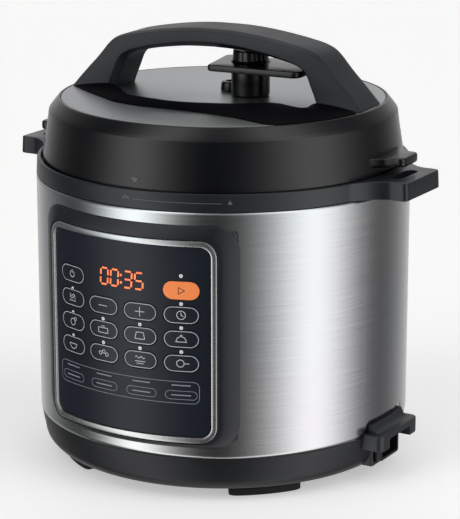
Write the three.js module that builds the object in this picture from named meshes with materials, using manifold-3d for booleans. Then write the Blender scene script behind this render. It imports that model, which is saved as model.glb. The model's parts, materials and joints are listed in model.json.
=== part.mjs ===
// Electric pressure cooker, six litre class. Millimetres, +Z up, front of the cooker towards -Y,
// floor at z = 0. The vessel axis is vertical; the whole model is moved along Y at the end so
// that the box around it is centred on the origin.
import * as THREE from "three";
import { mergeVertices } from "three/addons/utils/BufferGeometryUtils.js";
import Module from "manifold-3d";

const wasm = await Module();
wasm.setup();

// ---------------------------------------------------------------- driving dimensions
const GAP = 0.35;                 // free space between two pieces that touch
const TURN_STEPS = 44;            // facets round a turned piece
const OUTER_STEPS = 60;           // and round the outermost ones

const BODY_R = 136;               // outside of the steel wrap
const WRAP_WALL = 1.2;
const WRAP_BOTTOM = 34;
const WRAP_HEIGHT = 174.3;

const BASE_FLOOR = 6;             // underside of the base moulding
const BASE_TURN_IN = 19;          // from the wrap's surface in to where the underside turns up
const BASE_WALL = 2.5;
const SERVICE_HOLE_INSET = 29;    // from there in to the edge of the bottom cover
const FOOT_WIDTH = 16;
const FOOT_OVERHANG = 3;          // beyond the flat of the underside
const FOOT_HALF_ANGLE = 13;
const LEFT_FOOT_ANGLE = 38;       // middle of a foot, from the front or back line
const RIGHT_FOOT_ANGLE = 45;

const COLLAR_HEIGHT = 12.7;
const COLLAR_TAPER = 0.6;
const COLLAR_LIP = 2.8;           // rim of the collar outside the recess for the lid
const LEDGE_DEPTH = 4.2;          // depth of that recess
const EAR_LENGTH = 25.5;          // out from the wrap's surface
const EAR_HALF_WIDTH = 27;
const EAR_ROOT_HALF_WIDTH = 46;
const EAR_SLOT_OUT = 10.5;        // middle of the slot, out from the wrap's surface
const EAR_SLOT_WIDTH = 9;
const EAR_SLOT_LENGTH = 30;

const POT_R = 113.2;              // outside of the removable pot
const POT_WALL = 1.5;
const POT_FLOOR = 58;
const POT_RIM_WIDTH = 8.3;
const POT_CORNER = 14;
const LINER_WALL = 1.5;
const LINER_CLEARANCE = 1.2;      // round the pot
const LINER_FLANGE_WIDTH = 10.1;
const LINER_LIP = 12.5;           // upright edge of the liner's flange
const FLANGE_DROP = 5.3;          // flange of the liner below the top of the wrap
const LUG_COUNT = 8;
const LUG_LENGTH = 6.2;           // fixed locking lugs, inwards
const LUG_THICKNESS = 2.4;
const LUG_CLEARANCE = 0.4;        // lid lugs stop short of the fixed lugs by this much

const HEATER_INSET = 21.2;        // smaller than the pot by this much
const HEATER_THICKNESS = 6;
const SENSOR_R = 13.5;
const SENSOR_STEM_R = 4.5;
const SENSOR_HEAD = 7;
const SPRING_WIRE_R = 0.8;
const SPRING_R = 7.2;
const ELEMENT_INSET = 22;         // ring of the element inside the heater's edge
const ELEMENT_TUBE_R = 4.6;
const SHIELD_Z = 36.5;
const SHIELD_WALL = 1.2;
const BOARD_Z = 20;
const BOARD_THICKNESS = 1.6;
const BOARD_HALF = 44;            // half the width of the board behind the keys

const KEY_SIDE_MARGIN = 12.06;    // from the outer key columns to the bezel's outer edge
const PANEL_BOTTOM = 46;
const PANEL_HEIGHT = 144;
const BEZEL_PROUD = 5.3;          // out from the wrap's surface
const BEZEL_WIDTH = 4.3;
const BEZEL_CORNER = 12;
const BEZEL_EDGE = 0.6;           // bevel along both edges of the bezel
const SURROUND_SIDE = 14.5;       // how far the sloping surround runs out past the bezel
const SURROUND_TOP = 9.5;
const SURROUND_BOTTOM = 4.5;
const SURROUND_CORNER = 18;
const FACE_PROUD = 3.8;           // out from the wrap's surface
const FACE_THICKNESS = 1.6;
const CARRIER_PROUD = 1;
const CARRIER_WALL = 2;
const KEY_WIDTH = 25;
const KEY_HEIGHT = 12.8;
const KEY_SPACE_ROUND = 4.2;      // face between two key columns
const KEY_SPACE_UP = 4.4;
const KEY_ROW_Z = 103.2;          // middle of the lowest row
const KEY_PROUD = 0.25;
const DISPLAY_Z = 159.2;
const DISPLAY_WIDTH = 42;
const DISPLAY_HEIGHT = 20;

const INLET_OUT = 11;             // power inlet hood, out from the wrap's surface
const INLET_HALF_WIDTH = 29.5;
const INLET_CORNER = 5;
const INLET_ABOVE_BASE = 2;       // top of the hood above the lower edge of the wrap
const INLET_CHEEK_HEIGHT = 11.5;
const INLET_MOUTH_HALF = 16.5;
const INLET_MOUTH_BOTTOM = 11;
const INLET_RIM = 4.4;            // hood above the mouth
const INLET_MOUTH_BACK = 12;      // in from the wrap's surface
const INLET_TRAY_BACK = 16;
const INLET_TRAY_WALL = 2.2;
const HOOD_RISE = 6;              // hood runs up into the steel by this much
const HOOD_RISE_HALF = 24;
const SOCKET_OUT = 3;
const SOCKET_WALL = 2.2;
const PIN_LENGTH = 7.6;
const PIN_SPACING = 7;

const LID_REST_ANGLE = 2.9;       // the lid stands this far short of its lock mark, degrees
const LID_EDGE_CLEARANCE = 1.2;   // round the lid's rim, inside the collar's lip
const LID_SHOULDER_IN = 5.2;      // the lid's wall leans in by this much
const LID_TOP_IN = 12.2;
const LID_WALL = 2.4;
const LID_HEIGHT = 42.6;          // from the collar top to the lid's upper face
const LID_SHOULDER_DROP = 9.5;
const DISC_THICKNESS = 1.8;
const DISC_SEAT = 1.2;            // edge of the shell round the disc
const FIN_LENGTH = 16.6;          // out from the lid's rim
const FIN_HALF_WIDTH = 14;
const FIN_ROOT_HALF_WIDTH = 30;
const FIN_THICKNESS = 6.6;
const FIN_ABOVE_COLLAR = 5.6;

const HANDLE_RISE = 50;           // handle top above the lid's upper face
const HANDLE_END_IN = 1.2;        // feet stop this far inside the lid's upper edge
const HANDLE_HALF_WIDTH = 20;
const HANDLE_FOOT_EXTRA = 1;
const HANDLE_GRIP_THICKNESS = 13.4;
const HANDLE_LEG_INNER = 0.695;   // inner side of a leg at the lid, as a share of the half span
const SKIRT_THICKNESS = 4.4;
const SKIRT_REACH = 84;           // front edge of the moulding before the handle, from the axis

const VALVE_X = 18;
const VALVE_Y = 8;
const VALVE_R = 14;
const KNOB_INSET = 0.8;
const SLEEVE_HEIGHT = 19.4;
const LEVER_THICKNESS = 4.6;
const LEVER_REACH = 51.5;         // from the valve's axis to the lever's free end
const LEVER_FRONT = 28.5;         // from the valve's axis to the lever's front edge
const LEVER_BACK = 20;
const LEVER_FRONT_CORNER = 6;
const LEVER_BACK_CORNER = 12;
const KNOB_HEIGHT = 8.8;
const STEM_R = 5.3;
const STEM_CLEARANCE = 0.4;
const FLOAT_SPACE = 1.5;          // between the float's guard and the valve sleeve
const FLOAT_DIRECTION = 152.4;    // degrees from +X, from the valve to the float
const FLOAT_R = 3.2;
const FLOAT_CLEARANCE = 0.6;
const FLOAT_GUARD_R = 8.2;
const FLOAT_GUARD_HEIGHT = 6.4;
const STUD_R = 4;
const STUD_CLEARANCE = 0.5;
const PLATE_ABOVE_COLLAR = 4.6;   // upper face of the pressure plate
const COVER_WALL = 1.5;
const SEAL_HEIGHT = 5.4;

const CUP_HALF_WIDTH = 24;
const CUP_DEPTH = 17;
const CUP_HEIGHT = 34;
const CUP_WALL = 1.6;
const CUP_OFF_BODY = 0.8;
const CUP_CORNER = 6;
const CUP_DROP = 3;               // top of the cup below the top of the wrap

// ---------------------------------------------------------------- sizes that follow
const rad = THREE.MathUtils.degToRad;
const WRAP_TOP = WRAP_BOTTOM + WRAP_HEIGHT;
const WRAP_INNER_R = BODY_R - WRAP_WALL;
const BASE_FLOOR_R = BODY_R - BASE_TURN_IN;
const SERVICE_HOLE_R = BASE_FLOOR_R - SERVICE_HOLE_INSET;
const COLLAR_LOW = WRAP_TOP + GAP;
const COLLAR_TOP = COLLAR_LOW + COLLAR_HEIGHT;
const COLLAR_TOP_R = BODY_R - COLLAR_TAPER;
const LEDGE_R = COLLAR_TOP_R - COLLAR_LIP;
const EAR_REACH = BODY_R + EAR_LENGTH;
const EAR_SLOT_X = BODY_R + EAR_SLOT_OUT;
const POT_RIM_R = POT_R + POT_RIM_WIDTH;
const LINER_INNER_R = POT_R + LINER_CLEARANCE;
const LINER_R = LINER_INNER_R + LINER_WALL;
const LINER_FLANGE_R = LINER_R + LINER_FLANGE_WIDTH;
const FLANGE_Z = WRAP_TOP - FLANGE_DROP;
const RIM_Z = FLANGE_Z + LINER_WALL + GAP;            // underside of the pot's rim
const RIM_TOP = RIM_Z + POT_WALL;
const LINER_TOP = FLANGE_Z + LINER_LIP;
const LUG_TIP_R = LINER_FLANGE_R - LUG_LENGTH;
const LOCK_LOW = LINER_TOP + GAP;
const LOCK_HIGH = LOCK_LOW + LUG_THICKNESS;
const HEATER_R = POT_R - HEATER_INSET;
const HEATER_TOP = POT_FLOOR - GAP;
const LINER_FLOOR = HEATER_TOP - HEATER_THICKNESS - LINER_WALL;
const BEZEL_R = BODY_R + BEZEL_PROUD;
const FACE_R = BODY_R + FACE_PROUD;
const CARRIER_R = BODY_R + CARRIER_PROUD;
const PANEL_TOP = PANEL_BOTTOM + PANEL_HEIGHT;
const KEY_PITCH_ROUND = KEY_WIDTH + KEY_SPACE_ROUND;
const FACE_HALF = 1.5 * KEY_PITCH_ROUND + KEY_WIDTH / 2 + KEY_SIDE_MARGIN;  // to the bezel's edge
const KEY_PITCH_UP = KEY_HEIGHT + KEY_SPACE_UP;
const INLET_REACH = BODY_R + INLET_OUT;
const INLET_TOP = WRAP_BOTTOM + INLET_ABOVE_BASE;
const INLET_MOUTH_TOP = INLET_TOP - INLET_RIM;
const MOUTH_BACK_X = BODY_R - INLET_MOUTH_BACK;
const LID_RIM_R = LEDGE_R - LID_EDGE_CLEARANCE;
const LID_SHOULDER_R = LID_RIM_R - LID_SHOULDER_IN;
const LID_TOP_R = LID_RIM_R - LID_TOP_IN;
const LID_TOP = COLLAR_TOP + LID_HEIGHT;
const FIN_REACH = LID_RIM_R + FIN_LENGTH;
const HANDLE_HALF_SPAN = LID_TOP_R - HANDLE_END_IN;
const FLOAT_OFFSET = VALVE_R + FLOAT_GUARD_R + FLOAT_SPACE;
const FLOAT_X = VALVE_X + FLOAT_OFFSET * Math.cos(rad(FLOAT_DIRECTION));
const FLOAT_Y = VALVE_Y + FLOAT_OFFSET * Math.sin(rad(FLOAT_DIRECTION));
const CUP_INNER_Y = BODY_R + CUP_OFF_BODY;
const CUP_OUTER_Y = CUP_INNER_Y + CUP_DEPTH;
const CUP_TOP = WRAP_TOP - CUP_DROP;
const CENTRE_SHIFT = (CUP_OUTER_Y - BEZEL_R) / 2;

// ---------------------------------------------------------------- making solids
// A closed three.js geometry as a solid that can be joined and cut.
function solid(geometry) {
  const bare = geometry.index ? geometry.toNonIndexed() : geometry.clone();
  bare.deleteAttribute("normal");
  bare.deleteAttribute("uv");
  const merged = mergeVertices(bare, 1e-4);
  return new wasm.Manifold(new wasm.Mesh({
    numProp: 3,
    vertProperties: new Float32Array(merged.attributes.position.array),
    triVerts: new Uint32Array(merged.index.array),
  }));
}

function geometryOf(made) {
  const mesh = made.getMesh();
  const geometry = new THREE.BufferGeometry();
  geometry.setAttribute("position", new THREE.BufferAttribute(mesh.vertProperties, 3));
  geometry.setIndex(new THREE.BufferAttribute(mesh.triVerts, 1));
  geometry.computeVertexNormals();
  return geometry;
}

// Turned piece about +Z from a closed outline of [radius, z] points, anticlockwise.
function turned(outline, steps = TURN_STEPS) {
  const points = outline.map(([r, z]) => new THREE.Vector2(r, z));
  const closesOnAxis = outline[0][0] === 0 && outline[outline.length - 1][0] === 0;
  if (!closesOnAxis) points.push(points[0].clone());
  const geometry = new THREE.LatheGeometry(points, steps);
  geometry.rotateX(Math.PI / 2);
  return solid(geometry);
}

// Ring between two radii and two heights; innerR 0 gives a plain disc.
function ring(innerR, outerR, low, high, steps = TURN_STEPS) {
  if (innerR === 0) return turned([[0, low], [outerR, low], [outerR, high], [0, high]], steps);
  return turned([[innerR, low], [outerR, low], [outerR, high], [innerR, high]], steps);
}

function box(x0, x1, y0, y1, z0, z1) {
  const geometry = new THREE.BoxGeometry(x1 - x0, y1 - y0, z1 - z0);
  geometry.translate((x0 + x1) / 2, (y0 + y1) / 2, (z0 + z1) / 2);
  return solid(geometry);
}

// Plan outline pushed up from low to high.
function plate(shape, low, high, curveSegments = 8) {
  const geometry = new THREE.ExtrudeGeometry(shape, {
    depth: high - low, bevelEnabled: false, curveSegments,
  });
  geometry.translate(0, 0, low);
  return solid(geometry);
}

// Outline drawn in X and Z, pushed along Y from front to back.
function sideways(shape, front, back, curveSegments = 8) {
  const geometry = new THREE.ExtrudeGeometry(shape, {
    depth: back - front, bevelEnabled: false, curveSegments,
  });
  geometry.rotateX(Math.PI / 2);
  geometry.translate(0, back, 0);
  return solid(geometry);
}

function roundedRect(x0, x1, y0, y1, r) {
  const s = new THREE.Shape();
  s.moveTo(x0 + r, y0);
  s.lineTo(x1 - r, y0);
  s.absarc(x1 - r, y0 + r, r, -Math.PI / 2, 0);
  s.lineTo(x1, y1 - r);
  s.absarc(x1 - r, y1 - r, r, 0, Math.PI / 2);
  s.lineTo(x0 + r, y1);
  s.absarc(x0 + r, y1 - r, r, Math.PI / 2, Math.PI);
  s.lineTo(x0, y0 + r);
  s.absarc(x0 + r, y0 + r, r, Math.PI, Math.PI * 1.5);
  return s;
}

// Sector of a ring in plan, as a shape; angles in degrees from +X.
function sectorShape(innerR, outerR, from, to) {
  const s = new THREE.Shape();
  s.absarc(0, 0, outerR, rad(from), rad(to));
  s.absarc(0, 0, innerR, rad(to), rad(from), true);
  return s;
}

// Corner points of a rounded rectangle on the curved front: [distance round, height].
function frontOutline(half, low, high, corner, alongSide = 8, alongCorner = 4) {
  const points = [];
  const corners = [
    [half - corner, low + corner, -90], [half - corner, high - corner, 0],
    [-half + corner, high - corner, 90], [-half + corner, low + corner, 180],
  ];
  corners.forEach(([cx, cz, start], i) => {
    for (let k = 0; k <= alongCorner; k++) {
      const a = rad(start + 90 * k / alongCorner);
      points.push([cx + corner * Math.cos(a), cz + corner * Math.sin(a)]);
    }
    const next = corners[(i + 1) % 4];
    const a = rad(next[2]);
    const from = points[points.length - 1];
    const to = [next[0] + corner * Math.cos(a), next[1] + corner * Math.sin(a)];
    for (let k = 1; k < alongSide; k++) {
      const t = k / alongSide;
      points.push([from[0] + (to[0] - from[0]) * t, from[1] + (to[1] - from[1]) * t]);
    }
  });
  return points;
}

// Point on the front: s is the distance round the body, measured on the wrap's surface.
function onFront(s, z, r) {
  const a = s / BODY_R;
  return [r * Math.sin(a), -r * Math.cos(a), z];
}

// Frame that follows the body's curve: each section point is [share of the way from the outer
// outline to the inner one, radius].
function bentFrame(outer, inner, section) {
  const count = outer.length;
  const turns = section.length;
  const positions = [];
  outer.forEach(([so, zo], i) => {
    const [si, zi] = inner[i];
    for (const [share, r] of section) {
      positions.push(...onFront(so + (si - so) * share, zo + (zi - zo) * share, r));
    }
  });
  const index = [];
  for (let i = 0; i < count; i++) {
    for (let j = 0; j < turns; j++) {
      const a = i * turns + j;
      const b = ((i + 1) % count) * turns + j;
      const c = ((i + 1) % count) * turns + (j + 1) % turns;
      const d = i * turns + (j + 1) % turns;
      index.push(a, b, c, a, c, d);
    }
  }
  const geometry = new THREE.BufferGeometry();
  geometry.setAttribute("position", new THREE.Float32BufferAttribute(positions, 3));
  geometry.setIndex(index);
  const made = solid(geometry);
  if (made.volume() > 0) return made;
  for (let i = 0; i < index.length; i += 3) [index[i + 1], index[i + 2]] = [index[i + 2], index[i + 1]];
  geometry.setIndex(index);
  return solid(geometry);
}

// Part of a shell that stands in front of a rounded window of half-width half (round the body).
function frontPatch(shell, half, low, high, corner) {
  const reach = BODY_R * Math.sin(half / BODY_R);
  return shell.intersect(sideways(roundedRect(-reach, reach, low, high, corner), -BODY_R - 20, -20));
}

const frontShell = (innerR, outerR, low, high) => ring(innerR, outerR, low, high, OUTER_STEPS);

// ---------------------------------------------------------------- finishes
const finish = (color, roughness, metalness) =>
  new THREE.MeshStandardMaterial({ color, roughness, metalness });
const brushedSteel = finish(0xa9abab, 0.32, 1);
const satinSteel = finish(0xb9bbbc, 0.25, 1);
const aluminium = finish(0xb5b8ba, 0.4, 1);
const satinBlack = finish(0x2b2e33, 0.45, 0);
const collarBlack = finish(0x2e3034, 0.5, 0);
const baseBlack = finish(0x26282b, 0.55, 0);
const surroundBlue = finish(0x2b2e3a, 0.5, 0);
const glossPanel = finish(0x1f242e, 0.1, 0);
const keyDark = finish(0x252a34, 0.2, 0);
const keyOrange = finish(0xff9a5c, 0.35, 0);
const silicone = finish(0xd8d8d2, 0.6, 0);
const rubber = finish(0x1a1b1c, 0.8, 0);
const boardGreen = finish(0x2f5d3a, 0.6, 0);
const clearPlastic = finish(0xc9d2d6, 0.15, 0);

const cooker = new THREE.Group();
const lid = new THREE.Group();
lid.rotation.z = rad(LID_REST_ANGLE);
cooker.add(lid);

function add(name, made, material, group = cooker) {
  const mesh = new THREE.Mesh(geometryOf(made), material);
  mesh.name = name;
  group.add(mesh);
}

// ---------------------------------------------------------------- power inlet
const mouth = () => box(MOUTH_BACK_X, INLET_REACH + 1, -INLET_MOUTH_HALF, INLET_MOUTH_HALF,
  INLET_MOUTH_BOTTOM, INLET_MOUTH_TOP);
const TRAY_BACK_X = BODY_R - INLET_TRAY_BACK;
const TRAY_HALF = INLET_MOUTH_HALF + INLET_TRAY_WALL;
const TRAY_LOW = INLET_MOUTH_BOTTOM - INLET_TRAY_WALL;
const CHEEK_BACK_X = BODY_R - 6;
const CHEEK_LOW = INLET_TOP - INLET_CHEEK_HEIGHT;

// Room that the inlet housing takes in the pieces round it.
function inletRoom(extra) {
  const out = INLET_REACH + 5;
  const tray = box(TRAY_BACK_X - extra, out, -TRAY_HALF - extra, TRAY_HALF + extra,
    TRAY_LOW - extra, INLET_TOP + extra);
  const hood = box(CHEEK_BACK_X - extra, out, -INLET_HALF_WIDTH - extra, INLET_HALF_WIDTH + extra,
    CHEEK_LOW - extra, INLET_TOP + extra);
  const rise = box(CHEEK_BACK_X + 1 - extra, BODY_R + 5, -HOOD_RISE_HALF - extra,
    HOOD_RISE_HALF + extra, INLET_TOP - 1, INLET_TOP + HOOD_RISE + extra);
  return tray.add(hood).add(rise);
}

function inletHousing() {
  const tray = box(TRAY_BACK_X, BODY_R - 2, -TRAY_HALF, TRAY_HALF, TRAY_LOW, INLET_TOP);
  const [x, y, r] = [INLET_REACH - INLET_CORNER, INLET_HALF_WIDTH - INLET_CORNER, INLET_CORNER];
  const plan = new THREE.Shape();
  plan.moveTo(CHEEK_BACK_X, -INLET_HALF_WIDTH);
  plan.lineTo(x, -INLET_HALF_WIDTH);
  plan.absarc(x, -y, r, -Math.PI / 2, 0);
  plan.absarc(x, y, r, 0, Math.PI / 2);
  plan.lineTo(CHEEK_BACK_X, INLET_HALF_WIDTH);
  const hood = plate(plan, CHEEK_LOW, INLET_TOP, 4);
  const riseTop = INLET_TOP + HOOD_RISE;
  const rise = box(CHEEK_BACK_X + 1, BODY_R + 0.2, -HOOD_RISE_HALF, HOOD_RISE_HALF,
    INLET_TOP - 1, riseTop);
  const slope = new THREE.Shape();
  slope.moveTo(BODY_R - 3, INLET_TOP - 0.5);
  slope.lineTo(BODY_R + 7, INLET_TOP - 0.5);
  slope.lineTo(BODY_R + 2.5, INLET_TOP + 1.6);
  slope.lineTo(BODY_R + 0.2, riseTop);
  slope.lineTo(BODY_R - 3, riseTop);
  return tray.add(hood).add(rise)
    .add(sideways(slope, -HOOD_RISE_HALF, HOOD_RISE_HALF))
    .subtract(mouth());
}

// ---------------------------------------------------------------- base
const baseOutline = [
  [SERVICE_HOLE_R, BASE_FLOOR],
  [BASE_FLOOR_R, BASE_FLOOR],
  [BASE_FLOOR_R + 9, BASE_FLOOR + 2],
  [BODY_R - 4.4, BASE_FLOOR + 7],
  [BODY_R - 1.6, BASE_FLOOR + 14],
  [BODY_R - 0.2, WRAP_BOTTOM - GAP],
  [WRAP_INNER_R - 4, WRAP_BOTTOM - GAP],
  [BODY_R - 1.6 - BASE_WALL - 0.8, BASE_FLOOR + 14.5],
  [BASE_FLOOR_R + 8.4, BASE_FLOOR + BASE_WALL + 2.6],
  [SERVICE_HOLE_R, BASE_FLOOR + BASE_WALL],
];
add("base_shell", turned(baseOutline).subtract(inletRoom(GAP)), baseBlack);

function bottomCover() {
  let made = ring(0, SERVICE_HOLE_R - GAP, BASE_FLOOR + GAP, BASE_FLOOR + BASE_WALL, 40);
  for (let i = -2; i <= 2; i++) {
    made = made.subtract(plate(roundedRect(i * 14 - 2, i * 14 + 2, -28, 28, 2), 0, 20, 3));
  }
  return made;
}
add("bottom_cover", bottomCover(), baseBlack);

const feet = [["foot_front_left", -90 - LEFT_FOOT_ANGLE], ["foot_front_right", -90 + RIGHT_FOOT_ANGLE],
  ["foot_back_right", 90 - RIGHT_FOOT_ANGLE], ["foot_back_left", 90 + LEFT_FOOT_ANGLE]];
const footOuterR = BASE_FLOOR_R + FOOT_OVERHANG;
for (const [name, angle] of feet) {
  const shape = sectorShape(footOuterR - FOOT_WIDTH, footOuterR, angle - FOOT_HALF_ANGLE,
    angle + FOOT_HALF_ANGLE);
  add(name, plate(shape, 0, BASE_FLOOR - GAP, 8), rubber);
}

add("power_inlet_housing", inletHousing(), baseBlack);
const socketFront = BODY_R + SOCKET_OUT;
const SOCKET_HALF = INLET_MOUTH_HALF - 2.3;
function inletSocket() {
  const low = INLET_MOUTH_BOTTOM + 1;
  const high = INLET_MOUTH_TOP - 1;
  const half = SOCKET_HALF - SOCKET_WALL;
  return box(MOUTH_BACK_X + GAP, socketFront, -SOCKET_HALF, SOCKET_HALF, low, high)
    .subtract(box(MOUTH_BACK_X + 3, socketFront + 1, -half, half, low + 2, high - 2));
}
add("power_inlet_socket", inletSocket(), baseBlack);
const pinZ = (INLET_MOUTH_BOTTOM + INLET_MOUTH_TOP) / 2;
const pinBack = MOUTH_BACK_X + 3 + GAP;
[[-PIN_SPACING, -1.5], [0, 2.5], [PIN_SPACING, -1.5]].forEach(([y, up], i) => {
  add(`power_inlet_pin_${i + 1}`, box(pinBack, pinBack + PIN_LENGTH, y - 1, y + 1,
    pinZ + up - 2, pinZ + up + 2), satinSteel);
});

// ---------------------------------------------------------------- steel wrap and collar
// Window in the wrap, a little smaller than the surround that covers its edge.
const windowReach = BODY_R * Math.sin((FACE_HALF + SURROUND_SIDE - 1.6) / BODY_R);
function steelWrap() {
  const window = sideways(roundedRect(-windowReach, windowReach, PANEL_BOTTOM - SURROUND_BOTTOM + 1,
    PANEL_TOP + SURROUND_TOP - 1, SURROUND_CORNER - 1), -BODY_R - 5, -60, 5);
  return ring(WRAP_INNER_R, BODY_R, WRAP_BOTTOM, WRAP_TOP, OUTER_STEPS)
    .subtract(window).subtract(inletRoom(GAP));
}
add("outer_wrap", steelWrap(), brushedSteel);

function earPlan(sign) {
  const s = new THREE.Shape();
  const root = Math.sqrt(BODY_R ** 2 - EAR_ROOT_HALF_WIDTH ** 2);
  s.moveTo(sign * (root - 3), -EAR_ROOT_HALF_WIDTH);
  s.quadraticCurveTo(sign * (root + 9), -EAR_HALF_WIDTH - 3, sign * (EAR_REACH - 12), -EAR_HALF_WIDTH);
  s.lineTo(sign * (EAR_REACH - 3), -EAR_HALF_WIDTH);
  s.quadraticCurveTo(sign * EAR_REACH, -EAR_HALF_WIDTH, sign * EAR_REACH, -EAR_HALF_WIDTH + 3);
  s.lineTo(sign * EAR_REACH, EAR_HALF_WIDTH - 3);
  s.quadraticCurveTo(sign * EAR_REACH, EAR_HALF_WIDTH, sign * (EAR_REACH - 3), EAR_HALF_WIDTH);
  s.lineTo(sign * (EAR_REACH - 12), EAR_HALF_WIDTH);
  s.quadraticCurveTo(sign * (root + 9), EAR_HALF_WIDTH + 3, sign * (root - 3), EAR_ROOT_HALF_WIDTH);
  return s;
}

function topCollar() {
  const low = COLLAR_LOW;
  const shelf = FLANGE_Z - GAP;
  const outline = [
    [LINER_R + 2, shelf - 2.6], [WRAP_INNER_R - 0.8, shelf - 2.6], [WRAP_INNER_R - 0.8, low],
    [BODY_R, low], [COLLAR_TOP_R, COLLAR_TOP], [LEDGE_R, COLLAR_TOP],
    [LEDGE_R, COLLAR_TOP - LEDGE_DEPTH], [LINER_FLANGE_R + 0.5, COLLAR_TOP - LEDGE_DEPTH],
    [LINER_FLANGE_R + 0.5, shelf], [LINER_R + 2, shelf],
  ];
  let made = turned(outline, OUTER_STEPS);
  const core = ring(0, LEDGE_R + 0.6, 0, COLLAR_TOP + 50, OUTER_STEPS);
  for (const sign of [-1, 1]) {
    const slot = roundedRect(sign * EAR_SLOT_X - EAR_SLOT_WIDTH / 2, sign * EAR_SLOT_X + EAR_SLOT_WIDTH / 2,
      -EAR_SLOT_LENGTH / 2, EAR_SLOT_LENGTH / 2, EAR_SLOT_WIDTH / 2 - 0.01);
    made = made.add(plate(earPlan(sign), low, COLLAR_TOP).subtract(core))
      .subtract(plate(slot, low - 5, COLLAR_TOP + 5, 5));
  }
  return made;
}
add("top_collar", topCollar(), collarBlack);

// ---------------------------------------------------------------- vessel
const LINER_OPENING_R = HEATER_R + 6;
add("liner_pot", turned([
  [LINER_OPENING_R, LINER_FLOOR], [LINER_R, LINER_FLOOR], [LINER_R, FLANGE_Z],
  [LINER_FLANGE_R, FLANGE_Z], [LINER_FLANGE_R, LINER_TOP], [LINER_FLANGE_R - LINER_WALL, LINER_TOP],
  [LINER_FLANGE_R - LINER_WALL, FLANGE_Z + LINER_WALL], [LINER_INNER_R, FLANGE_Z + LINER_WALL],
  [LINER_INNER_R, LINER_FLOOR + LINER_WALL], [LINER_OPENING_R, LINER_FLOOR + LINER_WALL],
]), aluminium);

// Lug ring: every other sector is cut back, so the lid's lugs pass down between the fixed ones.
function lugRing(innerR, outerR, cutR, low, high) {
  let made = ring(innerR, outerR, low, high);
  const share = 360 / LUG_COUNT;
  for (let i = 0; i < LUG_COUNT; i++) {
    const from = i * share - share / 4;
    made = made.subtract(plate(sectorShape(innerR - 5, cutR, from, from + share / 2), low - 1, high + 1, 4));
  }
  return made;
}
add("locking_ring", lugRing(LUG_TIP_R, LINER_FLANGE_R, LUG_TIP_R + 2.6, LOCK_LOW, LOCK_HIGH),
  satinSteel);

function arcPoints(cr, cz, r, from, to, steps) {
  return Array.from({ length: steps + 1 }, (_, k) => {
    const a = rad(from + (to - from) * k / steps);
    return [cr + r * Math.cos(a), cz + r * Math.sin(a)];
  });
}
add("inner_pot", turned([
  [0, POT_FLOOR],
  ...arcPoints(POT_R - POT_CORNER, POT_FLOOR + POT_CORNER, POT_CORNER, -90, 0, 3),
  [POT_R, RIM_Z], [POT_RIM_R, RIM_Z], [POT_RIM_R, RIM_TOP],
  [POT_R - POT_WALL, RIM_TOP],
  ...arcPoints(POT_R - POT_CORNER, POT_FLOOR + POT_CORNER, POT_CORNER - POT_WALL, 0, -90, 3),
  [0, POT_FLOOR + POT_WALL],
]), satinSteel);

const heaterLow = HEATER_TOP - HEATER_THICKNESS;
add("heating_plate", ring(SENSOR_R + 1.2, HEATER_R, heaterLow, HEATER_TOP, 48), aluminium);
const ELEMENT_Z = heaterLow - GAP - ELEMENT_TUBE_R;
add("heating_element",
  turned(arcPoints(HEATER_R - ELEMENT_INSET, ELEMENT_Z, ELEMENT_TUBE_R, 0, 300, 5), 32), satinSteel);

add("heat_shield", turned([
  [SENSOR_STEM_R + 0.8, SHIELD_Z], [HEATER_R - 4, SHIELD_Z], [LINER_R - 4, LINER_FLOOR - 2.5],
  [LINER_R + 1.5, LINER_FLOOR - 2.5], [LINER_R + 1.5, LINER_FLOOR - 1.3], [LINER_R - 4.6, LINER_FLOOR - 1.3],
  [HEATER_R - 4.6, SHIELD_Z + SHIELD_WALL], [SENSOR_STEM_R + 0.8, SHIELD_Z + SHIELD_WALL],
], 32), aluminium);

const SENSOR_TOP = HEATER_TOP - 0.1;
const SPRING_TOP = SENSOR_TOP - SENSOR_HEAD;
add("thermostat_sensor", turned([
  [0, SHIELD_Z - 3], [SENSOR_STEM_R, SHIELD_Z - 3], [SENSOR_STEM_R, SPRING_TOP],
  [SENSOR_R, SPRING_TOP], [SENSOR_R, SENSOR_TOP - 1], [SENSOR_R - 1, SENSOR_TOP], [0, SENSOR_TOP],
], 24), aluminium);

class Coil extends THREE.Curve {
  constructor(r, low, high, turns) {
    super();
    Object.assign(this, { r, low, high, turns });
  }
  getPoint(t, target = new THREE.Vector3()) {
    const a = t * this.turns * Math.PI * 2;
    return target.set(this.r * Math.cos(a), this.r * Math.sin(a), this.low + (this.high - this.low) * t);
  }
}
const springLow = SHIELD_Z + SHIELD_WALL + SPRING_WIRE_R + GAP;
function sensorSpring() {
  const wire = new THREE.Shape();
  wire.absarc(0, 0, SPRING_WIRE_R, 0, Math.PI * 2);
  return solid(new THREE.ExtrudeGeometry(wire, {
    steps: 42, curveSegments: 3,
    extrudePath: new Coil(SPRING_R, springLow, SPRING_TOP - SPRING_WIRE_R - GAP, 3.5),
  }));
}
add("sensor_spring", sensorSpring(), satinSteel);

// Control electronics in the base: a board with its transformer, relay and capacitor.
function powerBoard() {
  const low = BOARD_Z;
  const top = low + BOARD_THICKNESS;
  return box(-70, 20, -45, 45, low, top)
    .add(box(-60, -32, -30, 0, top - 0.2, top + 9))
    .add(box(-22, -4, -34, -22, top - 0.2, top + 8))
    .add(box(-50, -36, 14, 34, top - 0.2, top + 7))
    .add(box(0, 12, 5, 30, top - 0.2, top + 5));
}
add("power_board", powerBoard(), boardGreen);

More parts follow.
